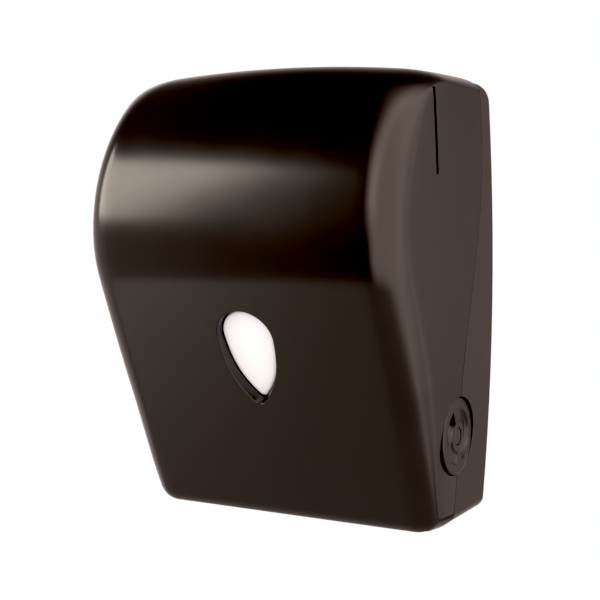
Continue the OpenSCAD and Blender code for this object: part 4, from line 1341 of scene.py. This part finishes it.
@dataclass
class Studio:
    """Pale floor, soft lights and the camera at the photograph's angle.

    A wall of light is a product of ramps: an axis, where on it a run starts and ends, and its two levels.
    """

    eye: Point = (0.5321, -1.0800, 0.1110)
    target: Point = (0, -0.105, 0)
    roll: float = math.radians(-0.18)
    lens: float = 77.7
    sensor: float = 36
    shift_x: float = 0.0248
    shift_y: float = 0.0052
    floor_z: float = -1.5
    floor_r: float = 2.2
    floor_tone: Colour = (0.33, 0.33, 0.33)
    floor_seen: Colour = (0.8, 0.95, 1.0)
    floor_roughness: float = 0.9
    lamp_tint: Colour = (1.0, 0.917, 0.843)
    wall_tint: Colour = (1.0, 0.83, 0.775)
    front_wall: Wall = (("X", 0.0, 0.3, 0.0, 2.45), ("Y", 0.15, 0.55, 1.0, 0.0),
                        ("Z", -0.74, -0.48, 0.04, 1.0))
    front_strip: Wall = (("X", -0.24, 0.08, 0.0, 2.6), ("X", 0.1, 0.55, 1.0, 0.0), ("Y", 0.2, 0.5, 1.0, 0.0),
                         ("Z", -0.05, 0.3, 0.0, 1.0), ("Z", 0.6, 1.0, 1.0, 0.25))
    right_wall: Wall = (("X", 0.08, 0.3, 0.0, 1.0), ("X", 0.36, 0.48, 0.5, 3.9), ("Y", 0.1, 0.5, 0.0, 0.45),
                        ("Y", 0.45, 0.9, 1.0, 0.41), ("Z", -0.46, -0.36, 0.05, 1.0),
                        ("Z", -0.34, -0.15, 0.68, 1.0))
    left_wall: Wall = (("X", -0.62, -0.47, 0.9, 0.0), ("Z", 0.2, 0.5, 1.0, 0.1))
    back_wall: Wall = (("Y", 0.5, 0.8, 0.03, 0.8), ("X", 0.1, 0.3, 1.0, 0.1), ("Z", 0.2, 0.5, 1.0, 0.1))
    lamps: tuple[Lamp, ...] = (
        Lamp("key", (-1.397, -1.113, 0.665), (-0.1, -0.198, 0.097), (1.28, 1.02), 33),
        Lamp("floor_wash", (-1.5, -1.42, -1.05), (-1.5, -1.42, -1.5), (0.4, 0.4), 9.5),
    )
    black: float = 0.014

    def build_camera(self) -> None:
        """Set the camera."""
        data = bpy.data.cameras.new("camera")
        data.lens = self.lens
        data.sensor_width = self.sensor
        data.shift_x = self.shift_x
        data.shift_y = self.shift_y
        camera = bpy.data.objects.new("camera", data)
        aim = (Vector(self.target) - Vector(self.eye)).to_track_quat("-Z", "Y")
        turn = aim @ Quaternion((0, 0, 1), self.roll)
        camera.matrix_world = Matrix.Translation(self.eye) @ turn.to_matrix().to_4x4()
        bpy.context.collection.objects.link(camera)
        bpy.context.scene.camera = camera

    def build_floor(self) -> None:
        """Lay the pale floor."""
        bm = bmesh.new()
        bmesh.ops.create_circle(bm, cap_ends=True, segments=96, radius=self.floor_r,
                                matrix=Matrix.Translation((0, 0, self.floor_z)))
        floor = raised("floor", bm)
        material = bpy.data.materials.new("pale_floor")
        material.use_nodes = True
        tree = material.node_tree
        shader = tree.nodes["Principled BSDF"]
        shader.inputs["Roughness"].default_value = self.floor_roughness
        seen = tree.nodes.new("ShaderNodeLightPath").outputs["Is Camera Ray"]
        tree.links.new(mixed(tree, seen, self.floor_tone, self.floor_seen), shader.inputs["Base Color"])
        floor.data.materials.append(material)

    def combined(self, tree: ShaderNodeTree, operation: str, values: Sequence[NodeSocket]) -> NodeSocket:
        """Add or multiply values, one after another.

        Args:
            tree: The node tree.
            operation: ADD or MULTIPLY.
            values: The values' sockets.

        Returns:
            The result's socket.
        """
        result = values[0]
        for value in values[1:]:
            step = tree.nodes.new("ShaderNodeMath")
            step.operation = operation
            tree.links.new(result, step.inputs[0])
            tree.links.new(value, step.inputs[1])
            result = step.outputs["Value"]
        return result

    def build_world(self) -> None:
        """Light the surroundings with soft walls; to the camera they are plain white."""
        world = bpy.data.worlds.new("studio")
        world.use_nodes = True
        bpy.context.scene.world = world
        tree = world.node_tree
        lit = tree.nodes["Background"]
        plain = tree.nodes.new("ShaderNodeBackground")
        where = tree.nodes.new("ShaderNodeTexCoord")
        split = tree.nodes.new("ShaderNodeSeparateXYZ")
        walls = []
        for wall in (self.front_wall, self.front_strip, self.right_wall, self.left_wall, self.back_wall):
            levels = [ramped(tree, split.outputs[axis], *ramp) for axis, *ramp in wall]
            walls.append(self.combined(tree, "MULTIPLY", levels))
        path = tree.nodes.new("ShaderNodeLightPath")
        mix = tree.nodes.new("ShaderNodeMixShader")
        tree.links.new(where.outputs["Generated"], split.inputs["Vector"])
        tree.links.new(self.combined(tree, "ADD", walls), lit.inputs["Strength"])
        tree.links.new(path.outputs["Is Camera Ray"], mix.inputs["Fac"])
        tree.links.new(lit.outputs["Background"], mix.inputs[1])
        tree.links.new(plain.outputs["Background"], mix.inputs[2])
        tree.links.new(mix.outputs["Shader"], tree.nodes["World Output"].inputs["Surface"])
        lit.inputs["Color"].default_value = (*self.wall_tint, 1)
        plain.inputs["Color"].default_value = (1, 1, 1, 1)

    def build(self) -> None:
        """Set up the studio."""
        self.build_camera()
        self.build_floor()
        self.build_world()
        for lamp in self.lamps:
            lamp.build(self.lamp_tint)
        self.set_tones()

    def set_tones(self) -> None:
        """Show colours as they are, with the photograph's deep blacks."""
        view = bpy.context.scene.view_settings
        view.view_transform = "Standard"
        view.use_curve_mapping = True
        view.curve_mapping.black_level = (self.black, self.black, self.black)
        view.curve_mapping.update()


def main() -> None:
    """Build the dispenser's pieces and the studio."""
    logging.basicConfig(level=logging.INFO, format="%(name)s: %(message)s")
    Studio().build()
    low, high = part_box("hand_knob")
    knob = Knob(centre=(low + high) / 2, solid_face=high.x)
    drop = Drop()
    Cover().build(drop, knob)
    RearShell().build(knob)
    drop.build()
    knob.build()
    Springs().build()
    done = {node for node, piece in frame["nodes"].items() if piece.hide_render}
    InnerWorks().build(done)


if __name__ == "__main__":
    main()
